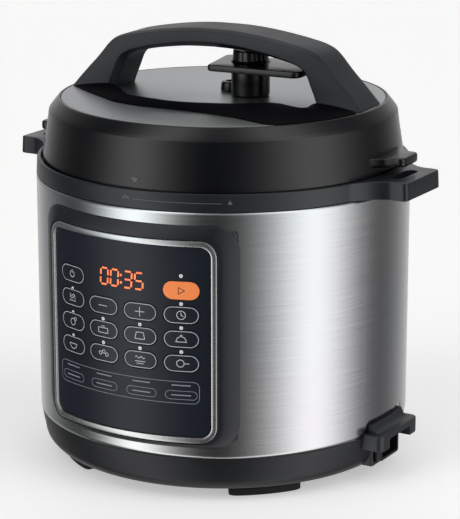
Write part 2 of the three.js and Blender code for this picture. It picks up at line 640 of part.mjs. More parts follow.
// ---------------------------------------------------------------- control panel
const bezelOuter = frontOutline(FACE_HALF, PANEL_BOTTOM, PANEL_TOP, BEZEL_CORNER);
const bezelInner = frontOutline(FACE_HALF - BEZEL_WIDTH, PANEL_BOTTOM + BEZEL_WIDTH, PANEL_TOP - BEZEL_WIDTH,
  BEZEL_CORNER - BEZEL_WIDTH);
const surroundOuter = frontOutline(FACE_HALF + SURROUND_SIDE, PANEL_BOTTOM - SURROUND_BOTTOM,
  PANEL_TOP + SURROUND_TOP, SURROUND_CORNER);
const surroundInner = frontOutline(FACE_HALF + GAP, PANEL_BOTTOM - GAP, PANEL_TOP + GAP, BEZEL_CORNER + GAP);
add("panel_surround", bentFrame(surroundOuter, surroundInner, [
  [0, BODY_R + GAP], [0.28, BODY_R + GAP], [0.34, CARRIER_R + GAP], [1, CARRIER_R + GAP],
  [1, BEZEL_R - 0.8], [0.86, BEZEL_R - 0.5], [0.45, BODY_R + 3.2], [0, BODY_R + 0.9],
]), surroundBlue);
add("panel_bezel", bentFrame(bezelOuter, bezelInner, [
  [0, CARRIER_R + GAP], [1, CARRIER_R + GAP],
  [1, BEZEL_R - BEZEL_EDGE], [0.8, BEZEL_R], [0.2, BEZEL_R], [0, BEZEL_R - BEZEL_EDGE],
]), satinSteel);

const columns = [-1.5, -0.5, 0.5, 1.5].map((k) => k * KEY_PITCH_ROUND);
const keyRows = [4, 3, 3, 4];
const keys = [];
columns.forEach((s, c) => {
  for (let row = 0; row < keyRows[c]; row++) {
    const z = KEY_ROW_Z + row * KEY_PITCH_UP;
    keys.push({ name: `key_${c + 1}_${row + 1}`, s, z, start: c === 3 && row === 3 });
  }
});
// Upright pill on the front at distance s round the body, cut as a straight bar pointing outwards.
function keyBar(s, z, extra, inner, outer) {
  const half = KEY_WIDTH / 2 + extra;
  const tall = KEY_HEIGHT / 2 + extra;
  const shape = roundedRect(-half, half, z - tall, z + tall, tall - 0.01);
  return sideways(shape, -outer, -inner, 2).rotate([0, 0, THREE.MathUtils.radToDeg(s / BODY_R)]);
}

function panelFace() {
  let made = frontPatch(frontShell(FACE_R - FACE_THICKNESS, FACE_R, PANEL_BOTTOM, PANEL_TOP),
    (FACE_HALF - BEZEL_WIDTH - GAP), PANEL_BOTTOM + BEZEL_WIDTH + GAP, PANEL_TOP - BEZEL_WIDTH - GAP,
    BEZEL_CORNER - BEZEL_WIDTH - GAP);
  for (const key of keys) made = made.subtract(keyBar(key.s, key.z, GAP, 100, BODY_R + 20));
  return made;
}
add("panel_face", panelFace(), glossPanel);
for (const key of keys) {
  const front = frontShell(FACE_R - FACE_THICKNESS - 0.2, FACE_R + KEY_PROUD, key.z - 20, key.z + 20);
  add(key.name, front.intersect(keyBar(key.s, key.z, 0, 100, BODY_R + 20)), key.start ? keyOrange : keyDark);
}

const displayBack = BODY_R - 4;
const displayFront = FACE_R - FACE_THICKNESS - 1;
const displaySlot = (extra, back, front) => box(-DISPLAY_WIDTH / 2 - extra, DISPLAY_WIDTH / 2 + extra,
  -front, -back, DISPLAY_Z - DISPLAY_HEIGHT / 2 - extra, DISPLAY_Z + DISPLAY_HEIGHT / 2 + extra);
function panelCarrier() {
  const half = FACE_HALF + SURROUND_SIDE * 0.58;
  const shell = frontShell(CARRIER_R - CARRIER_WALL, CARRIER_R - 0.4, PANEL_BOTTOM - 10, PANEL_TOP + 20);
  return frontPatch(shell, half, PANEL_BOTTOM - SURROUND_BOTTOM * 0.58,
    PANEL_TOP + SURROUND_TOP * 0.62, BEZEL_CORNER)
    .subtract(displaySlot(1, 100, BODY_R + 10));
}
add("panel_carrier", panelCarrier(), baseBlack);
add("display_module", displaySlot(0, displayBack - 3, displayFront - 1.2), baseBlack);

const boardFront = BODY_R - 12;
add("control_board", box(-BOARD_HALF, BOARD_HALF, -boardFront, -boardFront + BOARD_THICKNESS,
  PANEL_BOTTOM + 14, PANEL_TOP - 12), boardGreen);

// ---------------------------------------------------------------- condensate cup at the back
function cupBody() {
  const low = CUP_TOP - CUP_HEIGHT;
  const plan = (inset) => roundedRect(-CUP_HALF_WIDTH + inset, CUP_HALF_WIDTH - inset,
    CUP_INNER_Y + inset, CUP_OUTER_Y - inset, CUP_CORNER - inset);
  return plate(plan(0), low, CUP_TOP, 4).subtract(plate(plan(CUP_WALL), low + CUP_WALL, CUP_TOP + 1, 4));
}
const room = ring(0, BODY_R + 0.7, 0, COLLAR_TOP + 20, OUTER_STEPS);
add("condensate_cup", cupBody().subtract(room), clearPlastic);
function cupRail() {
  const low = CUP_TOP + GAP;
  const shape = roundedRect(-CUP_HALF_WIDTH - 3, CUP_HALF_WIDTH + 3, BODY_R - 6, BODY_R + 9, 3);
  return plate(shape, low, WRAP_TOP + COLLAR_HEIGHT * 0.6, 3)
    .subtract(ring(0, BODY_R + GAP, 0, COLLAR_TOP + 20, OUTER_STEPS))
    .subtract(plate(roundedRect(-8, 8, BODY_R - 2, BODY_R + 6, 2), low - 1, COLLAR_TOP, 3));
}
add("cup_rail", cupRail(), collarBlack);

// ---------------------------------------------------------------- lid: outer shell and disc
const shoulderZ = LID_TOP - LID_SHOULDER_DROP;
const lidBottom = COLLAR_TOP - LEDGE_DEPTH + 2.4;
const discLow = LID_TOP - DISC_THICKNESS;
function finPlan(sign) {
  const s = new THREE.Shape();
  s.moveTo(sign * (LID_RIM_R - 6), -FIN_ROOT_HALF_WIDTH);
  s.quadraticCurveTo(sign * (LID_RIM_R + 3), -FIN_HALF_WIDTH - 5, sign * (FIN_REACH - 6), -FIN_HALF_WIDTH);
  s.quadraticCurveTo(sign * FIN_REACH, -FIN_HALF_WIDTH, sign * FIN_REACH, -FIN_HALF_WIDTH + 5);
  s.lineTo(sign * FIN_REACH, FIN_HALF_WIDTH - 5);
  s.quadraticCurveTo(sign * FIN_REACH, FIN_HALF_WIDTH, sign * (FIN_REACH - 6), FIN_HALF_WIDTH);
  s.quadraticCurveTo(sign * (LID_RIM_R + 3), FIN_HALF_WIDTH + 5, sign * (LID_RIM_R - 6), FIN_ROOT_HALF_WIDTH);
  return s;
}
function lidShell() {
  const outline = [
    [LID_RIM_R - LID_WALL, lidBottom], [LID_RIM_R, lidBottom], [LID_RIM_R - 0.6, lidBottom + 5],
    [LID_SHOULDER_R + 1.6, shoulderZ - 12], [LID_SHOULDER_R, shoulderZ],
    [LID_SHOULDER_R - 1.5, shoulderZ + 2.6], [LID_TOP_R, LID_TOP - 0.4], [LID_TOP_R - 0.6, LID_TOP],
    [LID_TOP_R - DISC_SEAT, LID_TOP], [LID_TOP_R - DISC_SEAT, discLow - GAP], [LID_TOP_R - 8, discLow - GAP],
    [LID_TOP_R - 8, discLow - GAP - LID_WALL], [LID_TOP_R - 2.5, discLow - GAP - LID_WALL],
    [LID_SHOULDER_R - LID_WALL - 0.6, shoulderZ - 1],
  ];
  const low = COLLAR_TOP + FIN_ABOVE_COLLAR;
  const hollow = ring(0, LID_SHOULDER_R - LID_WALL, 0, LID_TOP, OUTER_STEPS);
  let made = turned(outline, OUTER_STEPS);
  for (const sign of [-1, 1]) {
    made = made.add(plate(finPlan(sign), low, low + FIN_THICKNESS).subtract(hollow));
  }
  return made;
}
add("lid_shell", lidShell(), satinBlack, lid);

const hole = (x, y, r, low, high, steps = 20) => ring(0, r, low, high, steps).translate([x, y, 0]);
add("lid_disc", ring(0, LID_TOP_R - DISC_SEAT - GAP, discLow, LID_TOP)
  .subtract(hole(VALVE_X, VALVE_Y, STEM_R + 0.7, 0, 400))
  .subtract(hole(FLOAT_X, FLOAT_Y, FLOAT_R + 0.7, 0, 400)), satinSteel, lid);

// ---------------------------------------------------------------- lid: handle
// Side view of the arch, right half; mirrored for the left.
const handleTop = LID_TOP + HANDLE_RISE;
const handleLow = LID_TOP + GAP;
function archShape() {
  const outer = [[0, 0], [0.3, 2], [0.55, 6.5], [0.68, 11.2], [0.755, 18.5], [0.845, 31],
    [1, HANDLE_RISE - GAP]];
  const inner = [[HANDLE_LEG_INNER, HANDLE_RISE - GAP], [0.637, 33], [0.607, 25.4], [0.54, 20.8],
    [0.39, 17.2], [0.2, 14.2], [0, HANDLE_GRIP_THICKNESS]];
  const right = [...outer, ...inner].map(([share, drop]) => [share * HANDLE_HALF_SPAN, handleTop - drop]);
  const left = right.slice(1, -1).reverse().map(([x, z]) => [-x, z]);
  const s = new THREE.Shape();
  [...right, ...left].forEach(([x, z], i) => (i ? s.lineTo(x, z) : s.moveTo(x, z)));
  return s;
}
const HANDLE_FOOT_HALF = HANDLE_HALF_WIDTH + HANDLE_FOOT_EXTRA;
function lidHandle() {
  const arch = sideways(archShape(), -HANDLE_HALF_WIDTH, HANDLE_HALF_WIDTH);
  let made = arch;
  for (const sign of [-1, 1]) {
    const foot = new THREE.Shape();
    foot.moveTo(sign * HANDLE_HALF_SPAN * HANDLE_LEG_INNER, handleLow);
    foot.lineTo(sign * (HANDLE_HALF_SPAN - 1), handleLow);
    foot.lineTo(sign * (HANDLE_HALF_SPAN - 8), handleLow + 9);
    foot.lineTo(sign * HANDLE_HALF_SPAN * (HANDLE_LEG_INNER - 0.01), handleLow + 9);
    made = made.add(sideways(foot, -HANDLE_FOOT_HALF, HANDLE_FOOT_HALF));
  }
  return made.intersect(ring(0, LID_TOP_R - 0.5, 0, 400));
}
add("lid_handle", lidHandle(), satinBlack, lid);

// Low moulding that joins the two feet in front of the valve. Its outline is given as shares of
// the handle's half span along X and of the moulding's reach along Y.
function skirtPlan() {
  const place = ([x, y]) => new THREE.Vector2(x * HANDLE_HALF_SPAN, y * SKIRT_REACH);
  const join = -HANDLE_FOOT_HALF - GAP;
  const front = [[-0.83, -0.39], [-0.62, -0.6], [-0.46, -0.74], [-0.25, -0.8], [0.07, -0.8],
    [0.35, -0.86], [0.62, -0.99]];
  const back = [[0.695, -0.286], [0.704, -0.45], [0.653, -0.476], [0.526, -0.385], [0.44, -0.39],
    [0.28, -0.56], [0.153, -0.63], [0.025, -0.686], [-0.115, -0.708], [-0.28, -0.66], [-0.41, -0.64],
    [-0.53, -0.48], [-0.6, -0.32]];
  const s = new THREE.Shape();
  s.moveTo(-0.941 * HANDLE_HALF_SPAN, join);
  s.splineThru(front.map(place));
  s.lineTo(0.7 * HANDLE_HALF_SPAN, -SKIRT_REACH);
  s.lineTo(1.06 * HANDLE_HALF_SPAN, -0.39 * SKIRT_REACH);
  s.lineTo(0.949 * HANDLE_HALF_SPAN, join);
  s.lineTo(HANDLE_LEG_INNER * HANDLE_HALF_SPAN, join);
  s.splineThru([...back.map(place), new THREE.Vector2(-0.678 * HANDLE_HALF_SPAN, join)]);
  return s;
}
add("handle_skirt", plate(skirtPlan(), handleLow, handleLow + SKIRT_THICKNESS, 3)
  .intersect(ring(0, LID_TOP_R - 0.8, 0, 400)), satinBlack, lid);

// ---------------------------------------------------------------- lid: release valve and float
const sleeveTop = handleLow + SLEEVE_HEIGHT;
const leverLow = sleeveTop + GAP;
const leverTop = leverLow + LEVER_THICKNESS;
add("valve_sleeve", ring(STEM_R + 0.9, VALVE_R, handleLow, sleeveTop, 32).translate([VALVE_X, VALVE_Y, 0]),
  satinBlack, lid);
function valveLever() {
  const s = new THREE.Shape();
  const [front, back] = [VALVE_Y - LEVER_FRONT, VALVE_Y + LEVER_BACK];
  const end = VALVE_X + LEVER_REACH;
  const left = VALVE_X - VALVE_R;
  s.moveTo(left - 6, front);
  s.absarc(end - LEVER_FRONT_CORNER, front + LEVER_FRONT_CORNER, LEVER_FRONT_CORNER, -Math.PI / 2, 0);
  s.absarc(end - LEVER_BACK_CORNER, back - LEVER_BACK_CORNER, LEVER_BACK_CORNER, 0, Math.PI / 2);
  s.lineTo(left - 10, back);
  s.quadraticCurveTo(left - 16, back, left - 15, back - 6);
  s.lineTo(left - 11, front + 4);
  s.quadraticCurveTo(left - 10.4, front, left - 6, front);
  const wing = plate(s, leverLow, leverTop, 4);
  const knob = ring(0, VALVE_R - KNOB_INSET, leverTop - 1, leverTop + KNOB_HEIGHT, 32)
    .translate([VALVE_X, VALVE_Y, 0]);
  return wing.add(knob)
    .subtract(hole(VALVE_X, VALVE_Y, STEM_R + STEM_CLEARANCE, leverLow - 1, leverTop + 4));
}
add("valve_lever", valveLever(), satinBlack, lid);

const plateTop = COLLAR_TOP + PLATE_ABOVE_COLLAR;
add("exhaust_stem", ring(2.5, STEM_R, plateTop + GAP, leverTop + 3, 20).translate([VALVE_X, VALVE_Y, 0]),
  satinSteel, lid);
add("float_guard", ring(FLOAT_R + 0.7, FLOAT_GUARD_R, handleLow, handleLow + FLOAT_GUARD_HEIGHT, 24)
  .translate([FLOAT_X, FLOAT_Y, 0]), satinBlack, lid);
const floatPin = turned([
  [0, plateTop - 4], [FLOAT_R, plateTop - 4], [FLOAT_R, LID_TOP + 0.6],
  [FLOAT_R - 0.8, LID_TOP + 1.4], [0, LID_TOP + 1.4],
], 16);
add("float_valve", floatPin.translate([FLOAT_X, FLOAT_Y, 0]), satinSteel, lid);

// ---------------------------------------------------------------- lid: pressure plate
const lugLow = LOCK_LOW - GAP - LUG_THICKNESS;
const lidPlateR = LUG_TIP_R - LUG_CLEARANCE;
function pressurePlate() {
  const inner = lidPlateR - 6;
  const outline = [
    [0, plateTop - 1.6], [inner - 14, plateTop - 1.6], [inner - 3.4, plateTop - 4.6],
    [inner - 1.8, lugLow], [lidPlateR, lugLow], [lidPlateR, LOCK_LOW - GAP], [inner, LOCK_LOW - GAP],
    [inner - 1.6, plateTop - 3.4], [inner - 13.4, plateTop], [0, plateTop],
  ];
  let made = turned(outline);
  const share = 360 / LUG_COUNT;
  for (let i = 0; i < LUG_COUNT; i++) {
    const from = i * share + share / 4 - LID_REST_ANGLE;
    const cut = sectorShape(lidPlateR - 3, lidPlateR + 10, from, from + share / 2);
    made = made.subtract(plate(cut, lugLow - 1, LOCK_LOW + 1, 4));
  }
  return made.subtract(hole(VALVE_X, VALVE_Y, 2.5, 0, 400))
    .subtract(hole(FLOAT_X, FLOAT_Y, FLOAT_R + FLOAT_CLEARANCE, 0, 400))
    .subtract(hole(0, 0, STUD_R + STUD_CLEARANCE, 0, 400));
}
add("pressure_plate", pressurePlate(), satinSteel, lid);
add("lid_underside", turned([
  [lidPlateR - 4.8, lidBottom + 0.4], [LID_RIM_R - LID_WALL - GAP - 0.3, lidBottom + 0.4],
  [LID_RIM_R - LID_WALL - GAP - 0.5, lidBottom + 2.4], [lidPlateR - 3.4, lidBottom + 2.4],
]), satinBlack, lid);

// ---------------------------------------------------------------- inner cover and seal
const sealLow = RIM_TOP + GAP;
const coverLow = sealLow + 2;
const coverHigh = coverLow + COVER_WALL;
const coverR = POT_R - 1.2;
const sealInnerR = coverR - 2.5;
const sealOuterR = POT_RIM_R - 3.1;
add("inner_cover_plate", ring(0, coverR, coverLow, coverHigh)
  .subtract(hole(VALVE_X, VALVE_Y, 3, 0, 400)), satinSteel);
add("sealing_ring", turned([
  [sealInnerR, sealLow], [sealOuterR, sealLow], [sealOuterR - 1, sealLow + SEAL_HEIGHT],
  [sealInnerR, sealLow + SEAL_HEIGHT], [sealInnerR, coverHigh + GAP], [coverR + GAP, coverHigh + GAP],
  [coverR + GAP, coverLow - GAP], [sealInnerR, coverLow - GAP],
]), silicone);
add("cover_stud", ring(0, STUD_R, coverHigh + GAP, plateTop + 6, 16), satinSteel);
add("stud_nut", ring(STUD_R + GAP, 8, plateTop + GAP, plateTop + 4.5, 16), satinSteel, lid);
add("anti_block_cap", turned([
  [0, coverLow - 9], [11, coverLow - 9], [12.5, coverLow - 7], [12.5, coverLow - GAP], [11, coverLow - GAP],
  [11, coverLow - 7], [0, coverLow - 7.5],
], 20).translate([VALVE_X, VALVE_Y, 0]), satinSteel);

cooker.position.y = -CENTRE_SHIFT;
cooker.updateMatrixWorld(true);

export default cooker;
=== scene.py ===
import json
import bmesh
import bpy
import numpy as np
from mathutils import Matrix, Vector


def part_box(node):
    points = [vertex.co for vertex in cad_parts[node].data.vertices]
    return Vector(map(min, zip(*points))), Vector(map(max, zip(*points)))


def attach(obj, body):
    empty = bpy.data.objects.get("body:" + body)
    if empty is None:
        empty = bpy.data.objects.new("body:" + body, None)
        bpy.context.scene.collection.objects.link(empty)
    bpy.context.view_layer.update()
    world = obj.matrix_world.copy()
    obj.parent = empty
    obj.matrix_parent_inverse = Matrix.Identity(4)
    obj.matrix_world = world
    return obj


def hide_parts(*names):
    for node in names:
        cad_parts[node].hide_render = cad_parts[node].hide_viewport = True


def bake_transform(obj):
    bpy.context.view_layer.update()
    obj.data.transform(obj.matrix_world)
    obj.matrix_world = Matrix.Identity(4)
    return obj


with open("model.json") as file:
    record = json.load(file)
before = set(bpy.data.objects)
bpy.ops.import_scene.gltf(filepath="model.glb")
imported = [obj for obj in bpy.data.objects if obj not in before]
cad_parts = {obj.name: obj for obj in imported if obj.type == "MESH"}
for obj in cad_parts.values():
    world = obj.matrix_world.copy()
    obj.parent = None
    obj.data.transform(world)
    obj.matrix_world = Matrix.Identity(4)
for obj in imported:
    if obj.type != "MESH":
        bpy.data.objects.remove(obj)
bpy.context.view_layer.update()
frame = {"nodes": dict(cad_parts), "record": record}

# ------------------------------------------------------------ steel wrap
# The wrap is a sheet of stainless steel, brushed round the body, rolled into a tube and clipped
# between the base and the collar. A window in its front holds the control panel.
MM = 0.001
pot_low, pot_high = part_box("inner_pot")
AXIS = np.array([(pot_low.x + pot_high.x) / 2, (pot_low.y + pot_high.y) / 2, 0.0]) / MM
ROUND_STEPS = 192


def reach(node):
    """Lowest and highest corner of a CAD node, in millimetres from the vessel's axis."""
    low, high = (np.array(corner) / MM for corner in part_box(node))
    return low - AXIS, high - AXIS


def surface(name, points, wrap_rows=False, wrap_columns=False, keep=None, closed=True, sharp=32):
    """Mesh over a grid of points: cell (i, j) joins points i and i+1 of the rows and j and j+1 of the
    columns, and its UV is the distance in millimetres along the columns and the rows. keep says
    which cells stay. A closed form has its doubles merged and its faces turned outwards."""
    rows, columns = points.shape[:2]
    i, j = np.meshgrid(np.arange(rows - (not wrap_rows)), np.arange(columns - (not wrap_columns)),
                       indexing="ij")
    if keep is not None:
        i, j = i[keep], j[keep]
    i, j = i.ravel(), j.ravel()
    corner_rows = np.stack([i, i, i + 1, i + 1], -1)
    corner_columns = np.stack([j, j + 1, j + 1, j], -1)
    mesh = bpy.data.meshes.new(name)
    faces = (corner_rows % rows) * columns + corner_columns % columns
    mesh.from_pydata((points.reshape(-1, 3) + AXIS) * MM, [], faces)
    step_u = np.linalg.norm(np.roll(points, -1, 1) - points, axis=2).mean(0)
    step_v = np.linalg.norm(np.roll(points, -1, 0) - points, axis=2).mean(1)
    u = np.concatenate([[0], np.cumsum(step_u)])
    v = np.concatenate([[0], np.cumsum(step_v)])
    uv = np.stack([u[corner_columns], v[corner_rows]], -1)
    mesh.uv_layers.new(name="UVMap").data.foreach_set("uv", uv.ravel())
    piece = bpy.data.objects.new(name, mesh)
    bpy.context.scene.collection.objects.link(piece)
    smooth(piece, closed, sharp)
    return piece


def smooth(piece, closed, sharp):
    """Merges doubles and turns the faces outwards, then shades smooth except over sharp edges."""
    mesh = piece.data
    if closed:
        form = bmesh.new()
        form.from_mesh(mesh)
        bmesh.ops.remove_doubles(form, verts=form.verts, dist=2e-6)
        bmesh.ops.recalc_face_normals(form, faces=form.faces)
        form.to_mesh(mesh)
        form.free()
    mesh.polygons.foreach_set("use_smooth", np.ones(len(mesh.polygons), bool))
    mesh.set_sharp_from_angle(angle=np.radians(sharp))


def revolve(profile, angles):
    """Points of a turned form: radius times cosine and sine of the angle, at the profile's height."""
    r, z = np.asarray(profile, float).T[:, :, None]
    return np.stack([r * np.cos(angles), r * np.sin(angles), z + 0 * angles], -1)


FULL_TURN = np.linspace(0, 2 * np.pi, ROUND_STEPS, endpoint=False)


def turned(name, profile, angles=FULL_TURN, centre=(0, 0), sharp=32):
    """Closed turned body from a closed profile of radius and height."""
    points = revolve(profile, angles) + np.array([*centre, 0])
    return surface(name, points, wrap_rows=True, wrap_columns=True, sharp=sharp)


def ring(name, inner, outer, low, high, edges=(0, 0, 0, 0), angles=FULL_TURN, centre=(0, 0)):
    """Turned body with a rectangular section. edges are the radii of its lower inner, lower outer,
    upper outer and upper inner edge."""
    places = (inner, low), (outer, low), (outer, high), (inner, high)
    return turned(name, rounded([(*place, edge) for place, edge in zip(places, edges)]), angles, centre)


def rounded(corners, steps=5):
    """Closed outline through corners (x, y, radius): an arc that touches both sides takes the place
    of each corner, found by turning evenly from one point of contact to the other."""
    points = np.array([corner[:2] for corner in corners], float)
    pieces = []
    for k, (x, y, radius) in enumerate(corners):
        here = points[k]
        back, on = points[k - 1] - here, points[(k + 1) % len(points)] - here
        lengths = np.linalg.norm(back), np.linalg.norm(on)
        back, on = back / lengths[0], on / lengths[1]
        half = np.arccos(np.clip(back @ on, -1, 1)) / 2
        if radius <= 0 or half > 1.55:
            pieces.append(here[None])
            continue
        cut = min(radius / np.tan(half), 0.49 * min(lengths))
        centre = here + (back + on) / np.linalg.norm(back + on) * cut / np.cos(half)
        sweep = np.pi - 2 * half
        t = np.linspace(0, 1, steps + 1)[:, None]
        first, last = here + back * cut - centre, here + on * cut - centre
        pieces.append(centre + (np.sin((1 - t) * sweep) * first + np.sin(t * sweep) * last) / np.sin(sweep))
    return np.concatenate(pieces)


def linear(code):
    """sRGB hex colour as linear RGBA."""
    c = np.array([int(code[k:k + 2], 16) for k in (1, 3, 5)]) / 255
    return (*np.where(c <= 0.04045, c / 12.92, ((c + 0.055) / 1.055) ** 2.4), 1.0)


def node(tree, kind, settings=None, **inputs):
    """Adds a node. settings are its own values, and inputs are its sockets by name: a value is set
    and another node's socket is linked."""
    made = tree.nodes.new("ShaderNode" + kind)
    for key, value in (settings or {}).items():
        setattr(made, key, value)
    for key, value in inputs.items():
        socket = made.inputs[int(key[1:])] if key[1:].isdigit() else made.inputs[key.replace("_", " ")]
        if isinstance(value, bpy.types.NodeSocket):
            tree.links.new(value, socket)
        else:
            socket.default_value = value
    return made


def material(name):
    """New empty material: its node tree and its output node."""
    made = bpy.data.materials.new(name)
    made.use_nodes = True
    made.node_tree.nodes.clear()
    return made, made.node_tree, made.node_tree.nodes.new("ShaderNodeOutputMaterial")


def ramp(tree, factor, low, high, first, last):
    """Linear colour change from first to last as factor goes from low to high."""
    made = node(tree, "Mix", {"data_type": "RGBA"}, i6=first, i7=last)
    scaled = node(tree, "MapRange", None, Value=factor, From_Min=low, From_Max=high)
    tree.links.new(scaled.outputs[0], made.inputs[0])
    return made.outputs[2]


def brushed_metal(name, dark, light, rough, line_mm, length_mm, depth_mm, anisotropic=0.0):
    """Metal brushed in one direction. The lines are noise drawn out along U, line_mm wide and
    length_mm long; they vary the colour and the roughness and lift the surface by depth_mm."""
    made, tree, out = material(name)
    coords = node(tree, "TexCoord")
    stretch = node(tree, "Mapping", None, Vector=coords.outputs["UV"],
                   Scale=(1 / length_mm, 1 / line_mm, 1))
    lines = node(tree, "TexNoise", None, Vector=stretch.outputs[0], Scale=1.0, Detail=3.0, Roughness=0.6)
    broad = node(tree, "TexNoise", None, Vector=coords.outputs["Object"], Scale=6.0, Detail=1.0)
    value = lines.outputs["Fac"]
    rough_node = node(tree, "MapRange", None, Value=value, From_Min=0.3, From_Max=0.7,
                      To_Min=rough - 0.05, To_Max=rough + 0.05)
    bump = node(tree, "Bump", None, Strength=1.0, Distance=depth_mm * MM, Height=value)
    colour = ramp(tree, value, 0.3, 0.7, linear(dark), linear(light))
    shade = node(tree, "Mix", {"data_type": "RGBA", "blend_type": "MULTIPLY"}, Factor=0.12)
    tree.links.new(colour, shade.inputs[6])
    tree.links.new(broad.outputs["Color"], shade.inputs[7])
    skin = node(tree, "BsdfPrincipled", None, Metallic=1.0, Base_Color=shade.outputs[2],
                Roughness=rough_node.outputs[0], Normal=bump.outputs[0], Anisotropic=anisotropic)
    if anisotropic:
        tangent = node(tree, "Tangent", {"direction_type": "RADIAL", "axis": "Z"})
        tree.links.new(tangent.outputs[0], skin.inputs["Tangent"])
    tree.links.new(skin.outputs[0], out.inputs[0])
    return made


def finished(piece, body, slot, finish, *nodes):
    """Gives a piece its finish, rides it on its body and lets it stand for its CAD nodes."""
    piece.data.materials.clear()
    piece.data.materials.append(finish)
    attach(piece, body)
    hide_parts(*nodes)
    return piece


# Stainless sheet, grade 430, brushed with a fine belt: fine lines round the body, soft bands.
brushed_steel = brushed_metal("brushed_stainless_steel", "#bfc1c3", "#cfd1d2", 0.16, 0.35, 60, 0.003,
                              anisotropic=0.75)
wrap_low, wrap_high = reach("outer_wrap")
BODY_R = wrap_high[0]
surround_low, surround_high = reach("panel_surround")
WRAP_WALL = 1.2
WINDOW_HIDE = 6.0            # the window's edge lies this far under the surround
half_window = np.arcsin(surround_high[0] / BODY_R) - WINDOW_HIDE / BODY_R
inlet_low, inlet_high = reach("power_inlet_housing")
GAP = 0.35                   # free space between pieces that touch
HOOD_RISE, HOOD_RISE_HALF = 6.0, 24.0         # the inlet's fillet runs up into the steel
INLET_TOP = inlet_high[2] - HOOD_RISE
half_inlet = np.arcsin((inlet_high[1] + GAP) / BODY_R)
half_rise = np.arcsin((HOOD_RISE_HALF + GAP) / BODY_R)


def with_edges(base, edges):
    """Grid values with the given edges among them, each in place of the value nearest to it."""
    values = np.array(base, float)
    for edge in edges:
        values[np.abs(values - edge).argmin()] = edge
    return values


front = 1.5 * np.pi
angles = with_edges(np.linspace(0, 2 * np.pi, 240, endpoint=False) + 0.004,
                    [front - half_window, front + half_window, half_inlet, 2 * np.pi - half_inlet,
                     half_rise, 2 * np.pi - half_rise])
levels = with_edges(np.linspace(wrap_low[2], wrap_high[2], 60),
                    [surround_low[2] + WINDOW_HIDE, surround_high[2] - WINDOW_HIDE, INLET_TOP + GAP,
                     inlet_high[2] + GAP])
levels[0], levels[-1] = wrap_low[2], wrap_high[2]
middle = (angles + np.roll(angles, -1)) / 2
middle[-1] = angles[-1] + 0.01
level_middle = (levels[:-1] + levels[1:]) / 2
beside_panel = (level_middle > surround_low[2] + WINDOW_HIDE)
beside_panel &= level_middle < surround_high[2] - WINDOW_HIDE
window = (np.abs(middle - front) < half_window)[None] & beside_panel[:, None]
from_side = np.minimum(middle, 2 * np.pi - middle)[None]
notch = (from_side < half_inlet) & (level_middle < INLET_TOP + GAP)[:, None]
notch |= (from_side < half_rise) & (level_middle < inlet_high[2] + GAP)[:, None]
wrap = surface("steel_wrap", revolve(np.stack([0 * levels + BODY_R, levels], -1), angles),
               wrap_columns=True, keep=~(window | notch), closed=False)
wall = wrap.modifiers.new("wall", "SOLIDIFY")
wall.thickness = WRAP_WALL * MM
wall.offset = -1
finished(wrap, "body", "brushed_steel", brushed_steel, "outer_wrap")

# ------------------------------------------------------------ base moulding
# One polypropylene moulding under the steel: a short wall that leans in and a flat underside.
# The feet and the bottom cover fasten to it, and the power inlet is set into its right side.


def moulded(name, colour, rough, grain_mm=0.6, depth_mm=0.01, vary=0.12, specular=0.5, rough_vary=0.05):
    """Moulded plastic: a fine spark-eroded grain of grain_mm that lifts the surface by depth_mm, and a
    slow change of colour and roughness over centimetres, as the surface flows in the mould."""
    made, tree, out = material(name)
    coords = node(tree, "TexCoord").outputs["Object"]
    grain = node(tree, "TexNoise", None, Vector=coords, Scale=1 / (grain_mm * MM), Detail=2.0)
    slow = node(tree, "TexNoise", None, Vector=coords, Scale=22.0, Detail=2.0)
    base = np.array(linear(colour))
    dark, light = base * (1 - vary), base * (1 + vary)
    dark[3] = light[3] = 1
    shade = ramp(tree, slow.outputs["Fac"], 0.3, 0.7, tuple(dark), tuple(light))
    rough_node = node(tree, "MapRange", None, Value=slow.outputs["Fac"], From_Min=0.3, From_Max=0.7,
                      To_Min=rough - rough_vary, To_Max=rough + rough_vary)
    bump = node(tree, "Bump", None, Strength=1.0, Distance=depth_mm * MM, Height=grain.outputs["Fac"])
    skin = node(tree, "BsdfPrincipled", None, Base_Color=shade, Roughness=rough_node.outputs[0],
                Normal=bump.outputs[0], IOR=1.5, Specular_IOR_Level=specular)
    tree.links.new(skin.outputs[0], out.inputs[0])
    return made


# Polypropylene, spark-eroded mould: dark grey with an even, slightly dull sheen.
base_plastic = moulded("moulded_polypropylene", "#101318", 0.44)
base_low, base_high = reach("base_shell")
BASE_R = -base_low[0]
BASE_WALL = 2.5
floor_r = BASE_R - 18.8      # edge of the flat underside
base_top = base_high[2]
base_outer = rounded([
    (floor_r - 29, base_low[2], 0), (floor_r, base_low[2], 3), (floor_r + 10, base_low[2] + 2.2, 8),
    (BASE_R - 3.6, base_low[2] + 8, 10), (BASE_R, base_top, 0.8), (BASE_R - 5, base_top, 0),
    (BASE_R - 5.5, base_low[2] + 14, 6), (floor_r + 8, base_low[2] + BASE_WALL + 2.4, 3),
    (floor_r - 29, base_low[2] + BASE_WALL, 0)])
base = turned("base_moulding", base_outer)


def combine(piece, operation, *others, sharp=32):
    """Joins other closed forms to a piece (UNION) or takes them out of it (DIFFERENCE), and shades
    it again."""
    for other in others:
        change = piece.modifiers.new("combine", "BOOLEAN")
        change.operation = operation
        change.solver = "EXACT"
        change.object = other
    bpy.context.view_layer.update()
    done = bpy.data.meshes.new_from_object(piece.evaluated_get(bpy.context.evaluated_depsgraph_get()))
    piece.modifiers.clear()
    piece.data = done
    for other in others:
        bpy.data.objects.remove(other)
    smooth(piece, True, sharp)


